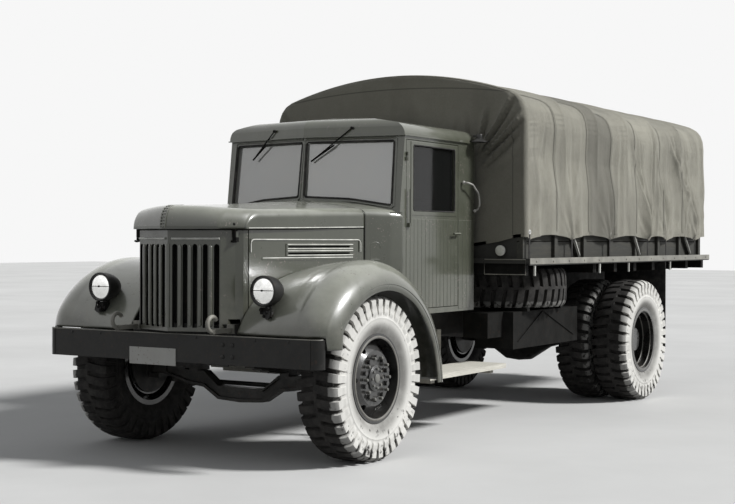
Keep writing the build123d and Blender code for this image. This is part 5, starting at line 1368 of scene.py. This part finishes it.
@dataclass
class SeatPads:
    """Bench seat whose stuffed cushion and back are swelled by a cloth simulation."""

    shop: Workshop
    voxel: float = 0.026
    pressure: float = 4.0
    frames: int = 20
    sunk: float = 0.007
    most: float = 0.014
    still_below: float = 0.33
    free_above: float = 0.38

    def evaluated(self, made: bpy.types.Object) -> bpy.types.Mesh:
        """A copy of the object's mesh with its modifiers applied."""
        graph = bpy.context.evaluated_depsgraph_get()
        return bpy.data.meshes.new_from_object(made.evaluated_get(graph), depsgraph=graph)

    def read(self, mesh: bpy.types.Mesh, what: str) -> np.ndarray:
        """The places or normals of the mesh's vertices, three to a row."""
        flat = np.zeros(len(mesh.vertices) * 3)
        mesh.vertices.foreach_get(what, flat)
        return flat.reshape(-1, 3)

    def swelled(self, pad: bpy.types.Object) -> np.ndarray:
        """Places of the pad's vertices after the air pressure has blown it up."""
        cloth = pad.modifiers.new("swell", "CLOTH")
        cloth.settings.use_pressure = True
        cloth.settings.uniform_pressure_force = self.pressure
        cloth.settings.effector_weights.gravity = 0
        for number in range(1, self.frames + 1):
            bpy.context.scene.frame_set(number)
        places = self.read(self.evaluated(pad), "co")
        pad.modifiers.clear()
        bpy.context.scene.frame_set(1)
        return places

    def build(self) -> None:
        """Remesh a copy of the seat, sink it a little, blow it up and put it in the seat's place."""
        low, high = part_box("seat")
        pad = bpy.data.objects.new("seat_pads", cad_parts["seat"].data.copy())
        bpy.context.scene.collection.objects.link(pad)
        self.shop.modifier(pad, "REMESH", mode="VOXEL", voxel_size=self.voxel)
        mesh = self.evaluated(pad)
        pad.modifiers.clear()
        pad.data = mesh
        start = self.read(mesh, "co") - self.read(mesh, "normal") * self.sunk
        mesh.vertices.foreach_set("co", start.reshape(-1))
        mesh.update()
        move = self.swelled(pad) - start
        size = np.linalg.norm(move, axis=1, keepdims=True)
        tall = high.z - low.z
        still, free = (low.z + share * tall for share in (self.still_below, self.free_above))
        padded = smooth_step(start[:, 2:], still, free)
        move = move * padded * np.minimum(1, self.most / np.maximum(size, 1e-9))
        mesh.vertices.foreach_set("co", (start + move).reshape(-1))
        LOG.info("seat_pads: %d points, largest move %.1f mm", len(start), 1000 * float(size.max()))
        mesh.materials.clear()
        mesh.materials.append(self.shop.material(SEAT_LEATHER))
        mesh.shade_smooth()
        mesh.update()
        self.shop.modifier(pad, "SUBSURF", levels=1, render_levels=1)
        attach(pad, "chassis")
        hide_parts("seat")
        self.shop.count += 1


def circle_through(points: tuple[tuple[float, float], ...], x: np.ndarray) -> np.ndarray:
    """Upper height at x of the circle through three points."""
    (ax, ay), (bx, by), (cx, cy) = points
    left = np.array([[bx - ax, by - ay], [cx - ax, cy - ay]]) * 2
    right = np.array([bx**2 - ax**2 + by**2 - ay**2, cx**2 - ax**2 + cy**2 - ay**2])
    mid_x, mid_y = np.linalg.solve(left, right)
    radius = math.hypot(ax - mid_x, ay - mid_y)
    return mid_y + np.sqrt(np.maximum(radius**2 - (x - mid_x) ** 2, 0))


@dataclass
class Hood:
    """Hood lid whose front edge rolls down to the nose, its band, beading and hinges, and the cowl.

    Each station is a place behind the front axle with the section's half width,
    low edge, side top and crown there. The shares are parts of the way from the
    crown to the low edge.
    """

    shop: Workshop
    roll: float = 0.082
    shoulder: float = 0.062
    wall: float = 0.006
    skirt: float = 0.615
    flat_share: float = 0.68
    round_share: float = 0.2
    side_start: float = 0.88
    side_share: float = 0.12
    columns: int = 161
    roll_rows: int = 15
    rest_rows: int = 69
    cowl_rows: int = 24
    hinge_y: float = 0.598
    hinge_z: float = 1.766
    welt_z: float = 1.549
    rear_y: float = 0.594
    cowl_y: float = 0.603
    cowl_top_y: float = 0.703
    stations: tuple[tuple[float, ...], ...] = (
        (-0.930, 0.424, 1.551, 1.672, 1.700),
        (-0.150, 0.536, 1.561, 1.694, 1.728),
        (0.600, 0.630, 1.573, 1.712, 1.768),
        (0.768, 0.752, 1.573, 1.707, 1.790),
        (0.862, 0.799, 1.573, 1.704, 1.802),
    )
    brink: tuple[tuple[float, float], ...] = (
        (0.0, -0.884), (0.355, -0.759), (0.415, -0.670), (0.462, -0.606),
    )

    def station(self, y: np.ndarray) -> list[np.ndarray]:
        """Half width, low edge, side top and crown at y from the front axle."""
        rows = np.array(self.stations)
        return [np.interp(y, rows[:, 0], rows[:, column]) for column in range(1, 5)]

    def section(self, s: np.ndarray, y: np.ndarray) -> tuple[np.ndarray, np.ndarray]:
        """Point (x, z) of the arched section; s runs from -1 at the right low edge to 1 at the left."""
        w, low, top, crown = self.station(y)
        q, r = np.abs(s), self.shoulder
        flat = np.clip(q / self.flat_share, 0, 1)
        turn = np.radians(90 * (1 - np.clip((q - self.flat_share) / self.round_share, 0, 1)))
        down = np.clip((q - self.side_start) / self.side_share, 0, 1)
        x = (w - r) * flat + r * np.cos(turn)
        z = crown - (crown - top) * flat**2 - r * (1 - np.sin(turn)) - (top - r - low) * down
        return np.sign(s) * x, z

    def skin(self) -> np.ndarray:
        """Points of the lid, in rows from its front brink to its rear edge."""
        s = np.linspace(-1, 1, self.columns)[None]
        bend = np.radians(np.linspace(0, 90, self.roll_rows))[:, None]
        rest = np.linspace(0, 1, self.rest_rows + 1)[1:, None]
        line = np.array(self.brink)
        slope = np.gradient(line[:, 1], line[:, 0])
        roll_rows = self.roll_rows
        y = np.full((roll_rows + self.rest_rows, self.columns), -0.6)
        for _ in range(4):
            x, z = self.section(s + 0 * y, y)
            start = np.interp(np.abs(x), line[:, 0], line[:, 1])
            steep = np.hypot(1, np.interp(np.abs(x), line[:, 0], slope))
            reach = self.roll * steep
            notch = smooth_step(np.abs(x), 0.098, 0.101) * (1 - smooth_step(np.abs(x), 0.171, 0.174))
            back = self.rear_y - 0.012 * notch
            front_rows = start[:roll_rows] + reach[:roll_rows] * (1 - np.cos(bend))
            first = (start + reach)[roll_rows:]
            y = np.concatenate([front_rows, first + (back[roll_rows:] - first) * rest])
        d = np.clip((y - start) / reach, 0, 1)
        rise = (1 - (1 - d) ** 2.3) ** (1 / 2.3)
        low = self.station(y)[1]
        z = low + (z - low) * rise
        return np.stack([x, y + FRONT_AXLE_Y, z], -1)

    def band(self, skin: np.ndarray) -> tuple[Shape, Shape]:
        """Strip down the middle of the nose, with three long ribs and short ribs across."""
        line = skin[:, self.columns // 2]
        steps = np.concatenate([[0], np.cumsum(np.linalg.norm(np.diff(line, axis=0), axis=1))])
        run = np.linspace(0.010, 0.30, 60)
        path = np.stack([np.interp(run, steps, line[:, c]) for c in range(3)], -1)
        along = np.gradient(path, axis=0)
        out = np.stack([0 * run, -along[:, 2], along[:, 1]], -1)
        out /= np.linalg.norm(out, axis=1)[:, None]
        path = path + out * 0.003
        strip = Shape.empty()
        for x in (-0.020, 0.020):
            strip = strip + tube(path + (x, 0, 0), 0.005, 10)
        ribs = Shape.empty()
        for place in np.arange(0.020, 0.295, 0.021):
            spot = np.array([np.interp(place, run, path[:, c]) for c in range(3)])
            across = np.array([spot + (x, 0, 0) for x in (-0.020, -0.010, 0.0, 0.010, 0.020)])
            ribs = ribs + tube(across, 0.0062, 10)
        return strip, ribs

    def build(self) -> None:
        """Make the lid and its fittings."""
        skin = self.skin()
        nodes = ("hood_top",)
        lid = self.shop.piece("hood_skin", grid(skin), "hood", "body_paint", BODY_PAINT, nodes, SKIN_EDGE)
        self.shop.thicken(lid, self.wall)
        strip, ribs = self.band(skin)
        self.shop.piece("hood_band", strip + ribs, "hood", "body_paint", BODY_PAINT)
        y = np.linspace(-0.585, 0.585, 60)
        w, low = self.station(y)[:2]
        # Beading along the lid's low edges, painted pale: wear and a painted highlight.
        edge = tube(np.stack([w + 0.001, y + FRONT_AXLE_Y, low + 0.006], -1), 0.006, 10)
        self.shop.piece("hood_beading", edge.paired(), "hood", "body_paint", TRIM_AND_HIGHLIGHT)
        y = np.linspace(0.58, -0.54, 40)
        w, low = self.station(y)[:2]
        line = spots(w - 0.016, y + FRONT_AXLE_Y, low - 0.001).tolist()
        ends = ((0.436, -0.60), (0.395, -0.622), (0.338, -0.700), (0.0, -0.818))
        line += [(x, FRONT_AXLE_Y + place, self.welt_z) for x, place in ends]
        welt = tube(np.array(line), 0.0075, 8)
        self.shop.piece("hood_welt", welt.paired(), "chassis", "flap_rubber", FLAP)
        self.shop.piece("hood_hinges", self.barrels(0.042, 0.07, 0.098), "hood", "body_paint", DARK_STEEL_AND_SHADE)
        self.cowl()

    def barrels(self, *places: float) -> Shape:
        """Hinge barrels on both sides of the middle, over the given X places."""
        line = [[x, self.hinge_y + FRONT_AXLE_Y, self.hinge_z] for x in places]
        return tube(np.array(line), 0.008, 14).paired()

    def cowl(self) -> None:
        """Panel that widens from the hood's rear edge to the cab, with a flap outlined on each side.

        Its rows run back until they meet the plane of the windscreen or, lower
        down, the corner of the cab.
        """
        s = np.linspace(-1, 1, self.columns)[None]
        back = np.linspace(0, 1, self.cowl_rows)[:, None]
        y = np.full((self.cowl_rows, self.columns), 0.7)
        side = np.abs(s) - self.side_start
        for _ in range(6):
            x, z = self.section(s + 0 * y, y)
            z = np.where(side > 0, z - side / self.side_share * self.skirt, z)
            under = self.cowl_top_y + SCREEN_VEE * np.abs(x) + SCREEN_RAKE * (z - SCREEN_Z)
            end = COWL_END + (np.minimum(under, COWL_END) - COWL_END) * smooth_step(z, 1.655, 1.690)
            notch = smooth_step(np.abs(x), 0.030, 0.034) * (1 - smooth_step(np.abs(x), 0.104, 0.108))
            start = self.cowl_y + 0.010 * notch
            y = start + (end - start) * back
        skin = np.stack([x, y + FRONT_AXLE_Y, z], -1)
        nodes = ("cowl",)
        made = self.shop.piece("cowl_skin", grid(skin), "chassis", "body_paint", BODY_PAINT, nodes, SKIN_EDGE)
        self.shop.thicken(made, 0.003)
        turn = np.radians(np.linspace(180, 0, 13))
        arch = [(0.670 + 0.03 * math.cos(a), 1.440 + 0.03 * math.sin(a)) for a in turn]
        line = [(0.640, 1.345), *arch, (0.700, 1.345), (0.640, 1.345)]
        rim = [(self.station(place)[0] + 0.001, place + FRONT_AXLE_Y, z) for place, z in line]
        flap = tube(np.array(rim), 0.0035, 8)
        self.shop.piece("cowl_flaps", flap.paired(), "chassis", "body_paint", BODY_PAINT)
        self.shop.piece("cowl_hinges", self.barrels(0.108, 0.136, 0.164), "chassis", "body_paint", DARK_STEEL_AND_SHADE)


@dataclass
class Fenders:
    """Domed fenders whose front runs smoothly into their crown, with a rolled lip round each arch."""

    shop: Workshop
    axis_y: float = -0.020
    axis_z: float = 0.450
    front: float = -0.745
    corner: float = 0.165
    lip_x: float = 1.200
    lip_r: float = 0.740
    band: float = 0.040
    crown_x: float = 0.960
    crown_share: float = 0.6
    columns: int = 61
    rows: int = 110
    ease: float = 0.055
    front_low: float = 0.868
    front_drop: float = 0.078
    rear_low: float = 0.028
    inner: tuple[tuple[float, float], ...] = ((0.458, 0.790), (0.730, 0.862), (0.960, 0.890))
    outer: tuple[tuple[float, float], ...] = ((0.960, 0.890), (1.1448, 0.842), (1.200, 0.740))
    body: tuple[tuple[float, float], ...] = (
        (-0.61, 0.458), (-0.552, 0.459), (0.60, 0.634), (0.775, 0.752), (0.865, 0.798), (2.0, 0.798),
    )

    def skin(self) -> np.ndarray:
        """Points of the left fender, in rows from its front edge round to its rear edge.

        Across, each row runs from the hood side over the crown to the lip. The
        front is held back to a plane and a corner arc by a soft maximum.
        """
        u = np.linspace(0, 1, self.columns)[None]
        v = np.linspace(0, 1, self.rows)[:, None]
        plan = np.array(self.body)
        start = np.full((self.rows, self.columns), self.inner[0][0])
        crown, share = self.crown_x, self.crown_share
        arc = np.linspace(0, 1, 60)
        tip_x = crown + (self.lip_x - crown) * np.sin(arc * math.pi / 2)
        tip_r = circle_through(self.outer, tip_x)
        tip_r = np.where(tip_r > self.lip_r, tip_r, self.lip_r)
        across_out = np.clip((u - share) / (1 - share), 0, 1)
        for _ in range(4):
            x = np.where(u < share, start + (crown - start) * u / share, np.interp(across_out, arc, tip_x))
            r = np.where(u < share, circle_through(self.inner, x), np.interp(across_out, arc, tip_r))
            low_front = self.front_low - self.front_drop * smooth_step(x, 1.151, 1.159)
            first = np.arccos(np.clip((low_front - self.axis_z) / r, -1, 1))
            last = -np.arccos(self.rear_low / r)
            turn = first + (last - first) * v
            y = self.axis_y - r * np.sin(turn)
            start = np.interp(y, plan[:, 0], plan[:, 1])
        z = self.axis_z + r * np.cos(turn)
        over = np.clip(x - (self.lip_x - self.corner), 0, self.corner)
        limit = self.front + self.corner - np.sqrt(self.corner**2 - over**2)
        y = (y + limit + np.sqrt((y - limit) ** 2 + self.ease**2)) / 2
        return np.stack([x, y + FRONT_AXLE_Y, z], -1)

    def lip(self) -> Shape:
        """Flat rolled band round the wheel arch."""
        turn = np.radians(np.linspace(50, -87.5, 70))
        r0, r1, x = self.lip_r - self.band, self.lip_r + 0.002, self.lip_x
        ring = np.array([
            (x - 0.006, r1), (x + 0.002, r1), (x + 0.005, r1 - 0.008), (x + 0.004, r0 + 0.004),
            (x + 0.001, r0), (x - 0.006, r0), (x - 0.008, r0 + 0.006),
        ])
        y = self.axis_y - ring[None, :, 1] * np.sin(turn)[:, None] + FRONT_AXLE_Y
        z = self.axis_z + ring[None, :, 1] * np.cos(turn)[:, None]
        points = np.stack([np.broadcast_to(ring[None, :, 0], y.shape), y, z], -1)
        return grid(points[:, ::-1], False, True)

    def build(self) -> None:
        """Make both fenders."""
        skin, lip = grid(self.skin()), self.lip()
        for side in Side:
            name, nodes = f"fender_skin_{side.word}", (f"fender_{side.word}",)
            shape = side.of(skin)
            made = self.shop.piece(name, shape, "chassis", "body_paint", BODY_PAINT, nodes, FENDER_EDGE)
            self.shop.thicken(made, 0.006)
            name = f"fender_lip_{side.word}"
            self.shop.piece(name, side.of(lip), "chassis", "body_paint", BODY_PAINT, (), LIP_EDGE)


@dataclass
class FrontEnd:
    """Nose, hood sides, lamps, bumper and plate."""

    shop: Workshop
    rib_places: tuple[float, ...] = (0.081, 0.1465, 0.212, 0.283)
    rib: float = 0.0135

    def build(self) -> None:
        """Dress the front of the truck."""
        self.shop.dress(BODY_PAINT, "hood_sides")
        self.shop.dress(SHADED_NOSE_PAINT, "grille_shell")
        self.shop.dress(BUMPER_STEEL, "front_bumper")
        self.shop.dress(RAIL_STEEL_AND_HIGHLIGHT, "tow_hooks")
        self.shop.dress(PLATE_WHITE, "number_plate")
        self.shop.dress(BUMPER_STEEL, "headlamps")
        self.shop.dress(LENS, "lamp_lenses")
        self.shop.dress(DARK_STEEL_AND_SHADE, "radiator")
        self.nose()
        self.side_trim()
        self.lamps()
        self.bumper()

    def vee(self, x: float, z: float, out: float = 0.0) -> tuple[float, float, float]:
        """Point on the left face of the veed nose."""
        return x, NOSE_TIP_Y + VEE_SLOPE * x - out, z

    def nose(self) -> None:
        """Rounded ribs between the gaps, a pale strip above them that is partly a painted highlight, and the
        hood's catches.
        """
        z = np.array([0.912, 0.916, 0.924, 1.0, 1.2, 1.43, 1.446, 1.452])
        swell = np.array([0.2, 0.75, 1, 1, 1, 1, 0.75, 0.2])
        ribs = Shape.empty()
        for x in self.rib_places:
            turn = np.linspace(0, 2 * math.pi, 17)[:-1]
            centre = np.array([self.vee(x, height) for height in z])
            ring = np.stack([np.cos(turn), np.sin(turn), 0 * turn], -1) * self.rib
            ribs = ribs + grid(centre[:, None] + ring[None] * swell[:, None, None], False, True)
        post = [self.vee(0, height, -0.004) for height in (0.905, 1.0, 1.2, 1.4, 1.455)]
        both = ribs.paired() + tube(np.array(post), 0.016, 14)
        self.shop.piece("grille_ribs", both, "chassis", "body_paint", BODY_PAINT, (), LIP_EDGE)
        strip = tube(np.array([self.vee(x, 1.491, 0.004) for x in np.linspace(0.028, 0.342, 8)]), 0.0075, 10)
        self.shop.piece("nose_strips", strip.paired(), "chassis", "body_paint", TRIM_AND_HIGHLIGHT)
        y = FRONT_AXLE_Y - 0.655
        catch = box((0.400, y, 1.470), (0.428, y + 0.030, 1.500))
        catch = catch + box((0.404, y - 0.006, 1.500), (0.424, y + 0.02, 1.592))
        line = [(0.396, y - 0.004, 1.474), (0.414, y - 0.012, 1.470), (0.436, y - 0.004, 1.474)]
        knob = disc([(0.0, 0.013), (0.008, 0.011), (0.012, 0.006)], 16)
        knob = knob.turned(TO_FRONT).moved((0.414, y - 0.008, 1.585))
        pair = (catch + (tube(np.array(line), 0.007, 10) + knob)).paired()
        self.shop.piece("hood_catches", pair, "chassis", "chassis_black", DARK_STEEL_AND_SHADE, (), FITTING_EDGE)

    def side_trim(self) -> None:
        """Pale beading round the side panel, and bars at the louvres: worn paint and a painted highlight."""
        wide, long = 0.630 - 0.455, 0.600 + 0.552
        length = math.hypot(wide, long)
        along = np.array([wide / length, long / length, 0])
        out = np.array([along[1], -along[0], 0])
        start = np.array([0.455, FRONT_AXLE_Y - 0.552, 0])

        def spot(run: float, z: float, lift: float) -> np.ndarray:
            """Point on the panel, a run behind its front edge and a lift outside it."""
            return start + along * run + out * lift + (0, 0, z)

        bend = np.radians(np.linspace(0, 90, 7))
        corner = [(0.030 - 0.030 * math.cos(a), 1.456 + 0.030 * math.sin(a)) for a in bend]
        end = length - 0.044
        near = [(run + 0.014, z) for run, z in corner]
        far = [(end - run, z) for run, z in corner[::-1]]
        line = [(0.014, 1.402)] + near + far + [(end, 1.402)]
        bead = tube(np.array([spot(run, z, 0.005) for run, z in line]), 0.0042, 10)
        for z, lift in ((1.379, 0.006), (1.409, 0.006), (1.425, 0.006), (1.453, 0.006), (1.362, 0.005)):
            places = np.linspace(0.360 if z > 1.37 else 0.125, length - 0.130, 6)
            bead = bead + tube(np.array([spot(run, z, lift) for run in places]), 0.0036, 10)
        self.shop.piece("side_beading", bead.paired(), "chassis", "body_paint", TRIM_AND_HIGHLIGHT)

    def lamps(self) -> None:
        """Dark rims, fluted lenses with a bar across, and the fittings on the lamps' brackets."""
        low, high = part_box("lamp_lenses")
        r = (high.z - low.z) / 2
        centre = Vector((high.x - r, low.y, (low.z + high.z) / 2))
        edge = [(0.0, r - 0.002), (0.010, r + 0.002), (0.013, r + 0.008), (0.006, r + 0.014)]
        rim = lathe(edge + [(-0.03, r + 0.0135), (-0.03, r + 0.004)], 64)
        dome = disc([(0.0, r), (0.006, r * 0.86), (0.011, r * 0.6), (0.014, r * 0.3)], 64)
        line = [(0.016, -r * 0.96, 0.004), (0.018, 0, 0.004), (0.016, r * 0.96, 0.004)]
        knob = disc([(0.012, 0.007), (0.020, 0.006), (0.022, 0.002)], 16).moved((0, 0, 0.004))
        bar = tube(np.array(line), 0.0022, 8) + knob
        foot = box((-0.030, -0.034, -0.150), (-0.012, 0.034, -0.105))
        foot = foot + box((-0.075, -0.012, -0.172), (-0.018, 0.022, -0.128))
        for y, z in ((-0.022, -0.120), (0.022, -0.138), (0.004, -0.160), (0.030, -0.110)):
            foot = foot + hexagon(0.016, 0.020).moved((-0.014, y, z))
        line = [(-0.06, 0.02, -0.085), (-0.02, 0.05, -0.11), (-0.01, 0.055, -0.16), (-0.05, 0.03, -0.20)]
        cable = tube(np.array(line + [(-0.09, 0.02, -0.22)]), 0.0055, 8)
        rows = (
            ("lamp_rims", rim, BUMPER_STEEL, "chassis_black"),
            ("lamp_domes", dome, LENS, "lamp"),
            ("lamp_bars", bar, DARK_STEEL_AND_SHADE, "lamp"),
            ("lamp_fittings", foot + cable, DARK_STEEL_AND_SHADE, "chassis_black"),
        )
        for name, shape, finish, slot in rows:
            left = shape.turned(TO_FRONT).moved(centre)
            self.shop.piece(name, left.paired(), "chassis", slot, finish)

    def bumper(self) -> None:
        """Bolt heads, a pale upper edge of wear and painted highlight, and corner straps on the bumper."""
        low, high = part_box("front_bumper")
        y = low.y
        heads = Shape.empty()
        for x in (0.40, 0.48):
            for z in (low.z + 0.052, high.z - 0.058):
                heads = heads + rivet(0.015).turned(TO_FRONT).moved((x, y, z))
        for x in (-0.92, -0.66, 0.18, 0.66, 0.92):
            heads = heads + rivet(0.009).turned(TO_FRONT).moved((x, y, high.z - 0.020))
        z = high.z - 0.001
        line = [(x, y + 0.0015, z) for x in np.linspace(0.0, high.x - 0.07, 12)]
        turn = np.radians(np.linspace(15, 80, 6))
        r = 0.0625
        line += [(high.x - 0.064 + r * math.sin(a), y + 0.064 - r * math.cos(a), z) for a in turn]
        edge = tube(np.array(line), 0.0035, 8)
        strap = box((high.x - 0.066, y - 0.003, low.z + 0.004), (high.x - 0.060, y + 0.004, high.z - 0.004))
        strap, edge = strap.paired(), edge.paired()
        self.shop.piece("bumper_heads", heads + strap, "chassis", "chassis_black", BUMPER_STEEL)
        self.shop.piece("bumper_edge_highlight", edge, "chassis", "chassis_black", RAIL_STEEL_AND_HIGHLIGHT)


@dataclass
class Bed:
    """Load bed, its boards, edge rail, bolts and pins, and what hangs under it."""

    shop: Workshop
    pins: tuple[float, ...] = (2.180, 3.520, 4.210, 5.320)

    def build(self) -> None:
        """Dress the bed and what hangs under it."""
        self.shop.dress(BED_WOOD_AND_SHADE, "bed_sides", "tailgate")
        self.shop.dress(SHADED_BOARD, "bed_floor", "bed_front")
        self.shop.dress(STEP_WOOD, "step_boards")
        self.shop.dress(CHASSIS_STEEL, "hoops")
        self.shop.dress(FLAP, "mud_flaps")
        self.shop.dress(DARK_STEEL_AND_SHADE, "side_locker", "spare_carrier", "fuel_tank", "bed_beams")
        self.edge()
        self.stay_wear_highlights()
        self.front_fittings()

    def edge(self) -> None:
        """Pale steel facing on the deck's edge, worn and with a painted highlight, with rivets and sleeves on
        the pins.
        """
        low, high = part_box("bed_floor")
        z1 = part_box("bed_sides")[0].z
        z0 = z1 - 0.046
        x = high.x
        # The facing is pale steel: wear, and a painted highlight along the deck's edge.
        rail = box((x - 0.004, low.y, z0), (x + 0.004, high.y - 0.02, z1 + 0.003))
        places = np.linspace(low.y + 0.12, high.y - 0.14, 14)
        heads = rivet(0.010).repeated(spots(x + 0.004, places, (z0 + z1) / 2))
        made = self.shop.piece("edge_rail", (rail + heads).paired(), "chassis", "bed_wood", RAIL_STEEL_AND_HIGHLIGHT)
        self.shop.bevel(made, 0.002)
        sleeves = Shape.empty()
        for place in self.pins:
            line = [(x - 0.016, FRONT_AXLE_Y + place, z) for z in (1.204, 1.206, 1.25, 1.302)]
            sleeves = sleeves + tube(np.array(line), 0.0105, 12)
        self.shop.piece("rope_pins", sleeves.paired(), "chassis", "bed_wood", TRIM_AND_HIGHLIGHT)

    def stay_wear_highlights(self) -> None:
        """Pale edges on the diagonal stays of the side boards: wear and a painted highlight."""
        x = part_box("bed_sides")[1].x + 0.002
        edges = Shape.empty()
        for top, foot in ((3.050, 3.205), (4.480, 4.640), (5.900, 6.090)):
            steps = np.linspace(0, 1, 5)
            line = [(x, FRONT_AXLE_Y + top + (foot - top) * t, 1.56 - 0.20 * t) for t in steps]
            edges = edges + tube(np.array(line), 0.008, 8)
        self.shop.piece("stay_wear_highlights", edges.paired(), "chassis", "bed_wood", TRIM_AND_HIGHLIGHT)

    def front_fittings(self) -> None:
        """Round cap and a beaded cover on the board behind the cab."""
        cap = disc([(0.0, 0.042), (0.012, 0.042), (0.018, 0.036), (0.022, 0.020)], 32).turned(TO_FRONT)
        cap = cap.moved((1.003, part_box("bed_front")[0].y, 1.405))
        low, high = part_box("bed_floor")
        inner, outer, foot, top = 0.860, 1.225, 1.215, high.z - 0.02
        corners = ((inner, foot), (inner, top), (outer, top), (outer, foot), (inner, foot))
        bead = tube(np.array([(x, low.y - 0.001, z) for x, z in corners]), 0.0035, 8)
        self.shop.piece("front_cover_bead", bead.paired(), "chassis", "bed_wood", RAIL_STEEL_AND_HIGHLIGHT)
        self.shop.piece("filler_cap", cap.paired(), "chassis", "bed_wood", TRIM_AND_HIGHLIGHT, (), FITTING_EDGE)


@dataclass
class Chassis:
    """Frame, axles, springs, steering and engine."""

    shop: Workshop

    def build(self) -> None:
        """Dress the running gear."""
        nodes = ("frame_rails", "tow_eye", "leaf_springs", "front_axle_beam", "tie_rod", "rear_axle")
        self.shop.dress(CHASSIS_STEEL, *nodes, "drive_shaft", "knuckle_left", "knuckle_right")
        self.shop.dress(ENGINE_STEEL, "engine")


@dataclass
class Studio:
    """Pale floor, soft light and the camera at the photograph's angle."""

    yaw: float = 31.83
    pitch: float = -0.47
    roll: float = 0.18
    place: tuple[float, float, float] = (5.953, -7.928, 1.481)
    focal: float = 1391.1
    width: float = 735.0
    sensor: float = 36.0
    far: float = 400.0
    floor_reach: float = 60.0

    def camera(self) -> None:
        """Set the camera from its fitted angles, place and focal length in pixels."""
        yaw, pitch, roll = (math.radians(a) for a in (self.yaw, self.pitch, self.roll))
        level = math.cos(pitch)
        forward = Vector((-math.sin(yaw) * level, math.cos(yaw) * level, math.sin(pitch)))
        right = Vector((math.cos(yaw), math.sin(yaw), 0))
        up = right.cross(forward)
        c, s = math.cos(roll), math.sin(roll)
        right, up = right * c + up * s, up * c - right * s
        data = bpy.data.cameras.new("camera")
        data.sensor_width = self.sensor
        data.lens = self.focal / self.width * data.sensor_width
        data.clip_end = self.far
        camera = bpy.data.objects.new("camera", data)
        bpy.context.scene.collection.objects.link(camera)
        spot = Vector(self.place) + Vector((0, FRONT_AXLE_Y, 0))
        turn = Matrix((right, up, -forward)).transposed().to_4x4()
        camera.matrix_world = Matrix.Translation(spot) @ turn
        bpy.context.scene.camera = camera

    def shown_directly(self, tree: bpy.types.NodeTree) -> Socket:
        """1 for rays that come from the camera, from gloss or through glass, and 0 for the rest."""
        path = tree.nodes.new("ShaderNodeLightPath")
        total = path.outputs["Is Camera Ray"]
        for name in ("Is Glossy Ray", "Is Transmission Ray"):
            either = tree.nodes.new("ShaderNodeMath")
            either.operation = "MAXIMUM"
            tree.links.new(total, either.inputs[0])
            tree.links.new(path.outputs[name], either.inputs[1])
            total = either.outputs[0]
        return total

    def floor(self) -> None:
        """Large pale floor, which throws less light back than it shows."""
        mesh = bpy.data.meshes.new("floor")
        r = self.floor_reach
        mesh.from_pydata([(-r, -r, 0), (r, -r, 0), (r, r, 0), (-r, r, 0)], [], [(0, 1, 2, 3)])
        g = Graph("floor_pale")
        tone = g.blend(g.fit(g.noise(0.35, 5.0), 0.35, 0.7), (0.60, 0.60, 0.59), (0.68, 0.68, 0.67))
        tone = g.blend(self.shown_directly(g.tree), (0.17, 0.17, 0.17), tone)
        mesh.materials.append(g.finish(tone, 0.9, None, specular_ior_level=0.1))
        made = bpy.data.objects.new("floor", mesh)
        bpy.context.scene.collection.objects.link(made)

    def light(self) -> None:
        """Soft sky all round and one broad light from the truck's left and above."""
        world = bpy.data.worlds.new("sky")
        bpy.context.scene.world = world
        world.use_nodes = True
        tree = world.node_tree
        tree.nodes.clear()
        output = tree.nodes.new("ShaderNodeOutputWorld")
        shown = tree.nodes.new("ShaderNodeBackground")
        shown.inputs["Color"].default_value = (0.93, 0.93, 0.93, 1)
        soft = tree.nodes.new("ShaderNodeBackground")
        soft.inputs["Color"].default_value = (0.93, 0.96, 1.0, 1)
        soft.inputs["Strength"].default_value = 0.25
        seen = self.shown_directly(tree)
        mix = tree.nodes.new("ShaderNodeMixShader")
        tree.links.new(seen, mix.inputs[0])
        tree.links.new(soft.outputs[0], mix.inputs[1])
        tree.links.new(shown.outputs[0], mix.inputs[2])
        tree.links.new(mix.outputs[0], output.inputs["Surface"])
        suns = (("key", (-1.0, -0.42, -0.9), 3.8, 9.0), ("fill", (0.3, 1.0, -0.8), 0.16, 60.0))
        for name, aim, energy, angle in suns:
            data = bpy.data.lights.new(name, "SUN")
            data.energy = energy
            data.angle = math.radians(angle)
            lamp = bpy.data.objects.new(name, data)
            lamp.rotation_euler = Vector(aim).to_track_quat("-Z", "Y").to_euler()
            bpy.context.scene.collection.objects.link(lamp)

    def build(self) -> None:
        """Make the whole stage."""
        bpy.context.scene.view_settings.view_transform = "Standard"
        self.camera()
        self.floor()
        self.light()


def main() -> None:
    """Build every sub-assembly in order."""
    logging.basicConfig(level=logging.INFO, format="%(name)s %(message)s")
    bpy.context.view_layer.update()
    Studio().build()
    shop = Workshop()
    kinds = (Chassis, Wheels, Hood, Fenders, FrontEnd, Cab, SeatPads, Bed, CanvasCover)
    for kind in kinds:
        part = kind(shop)
        part.build()
        LOG.info("%s done", type(part).__name__)
    LOG.info("%d pieces", shop.count)


if __name__ == "__main__":
    main()
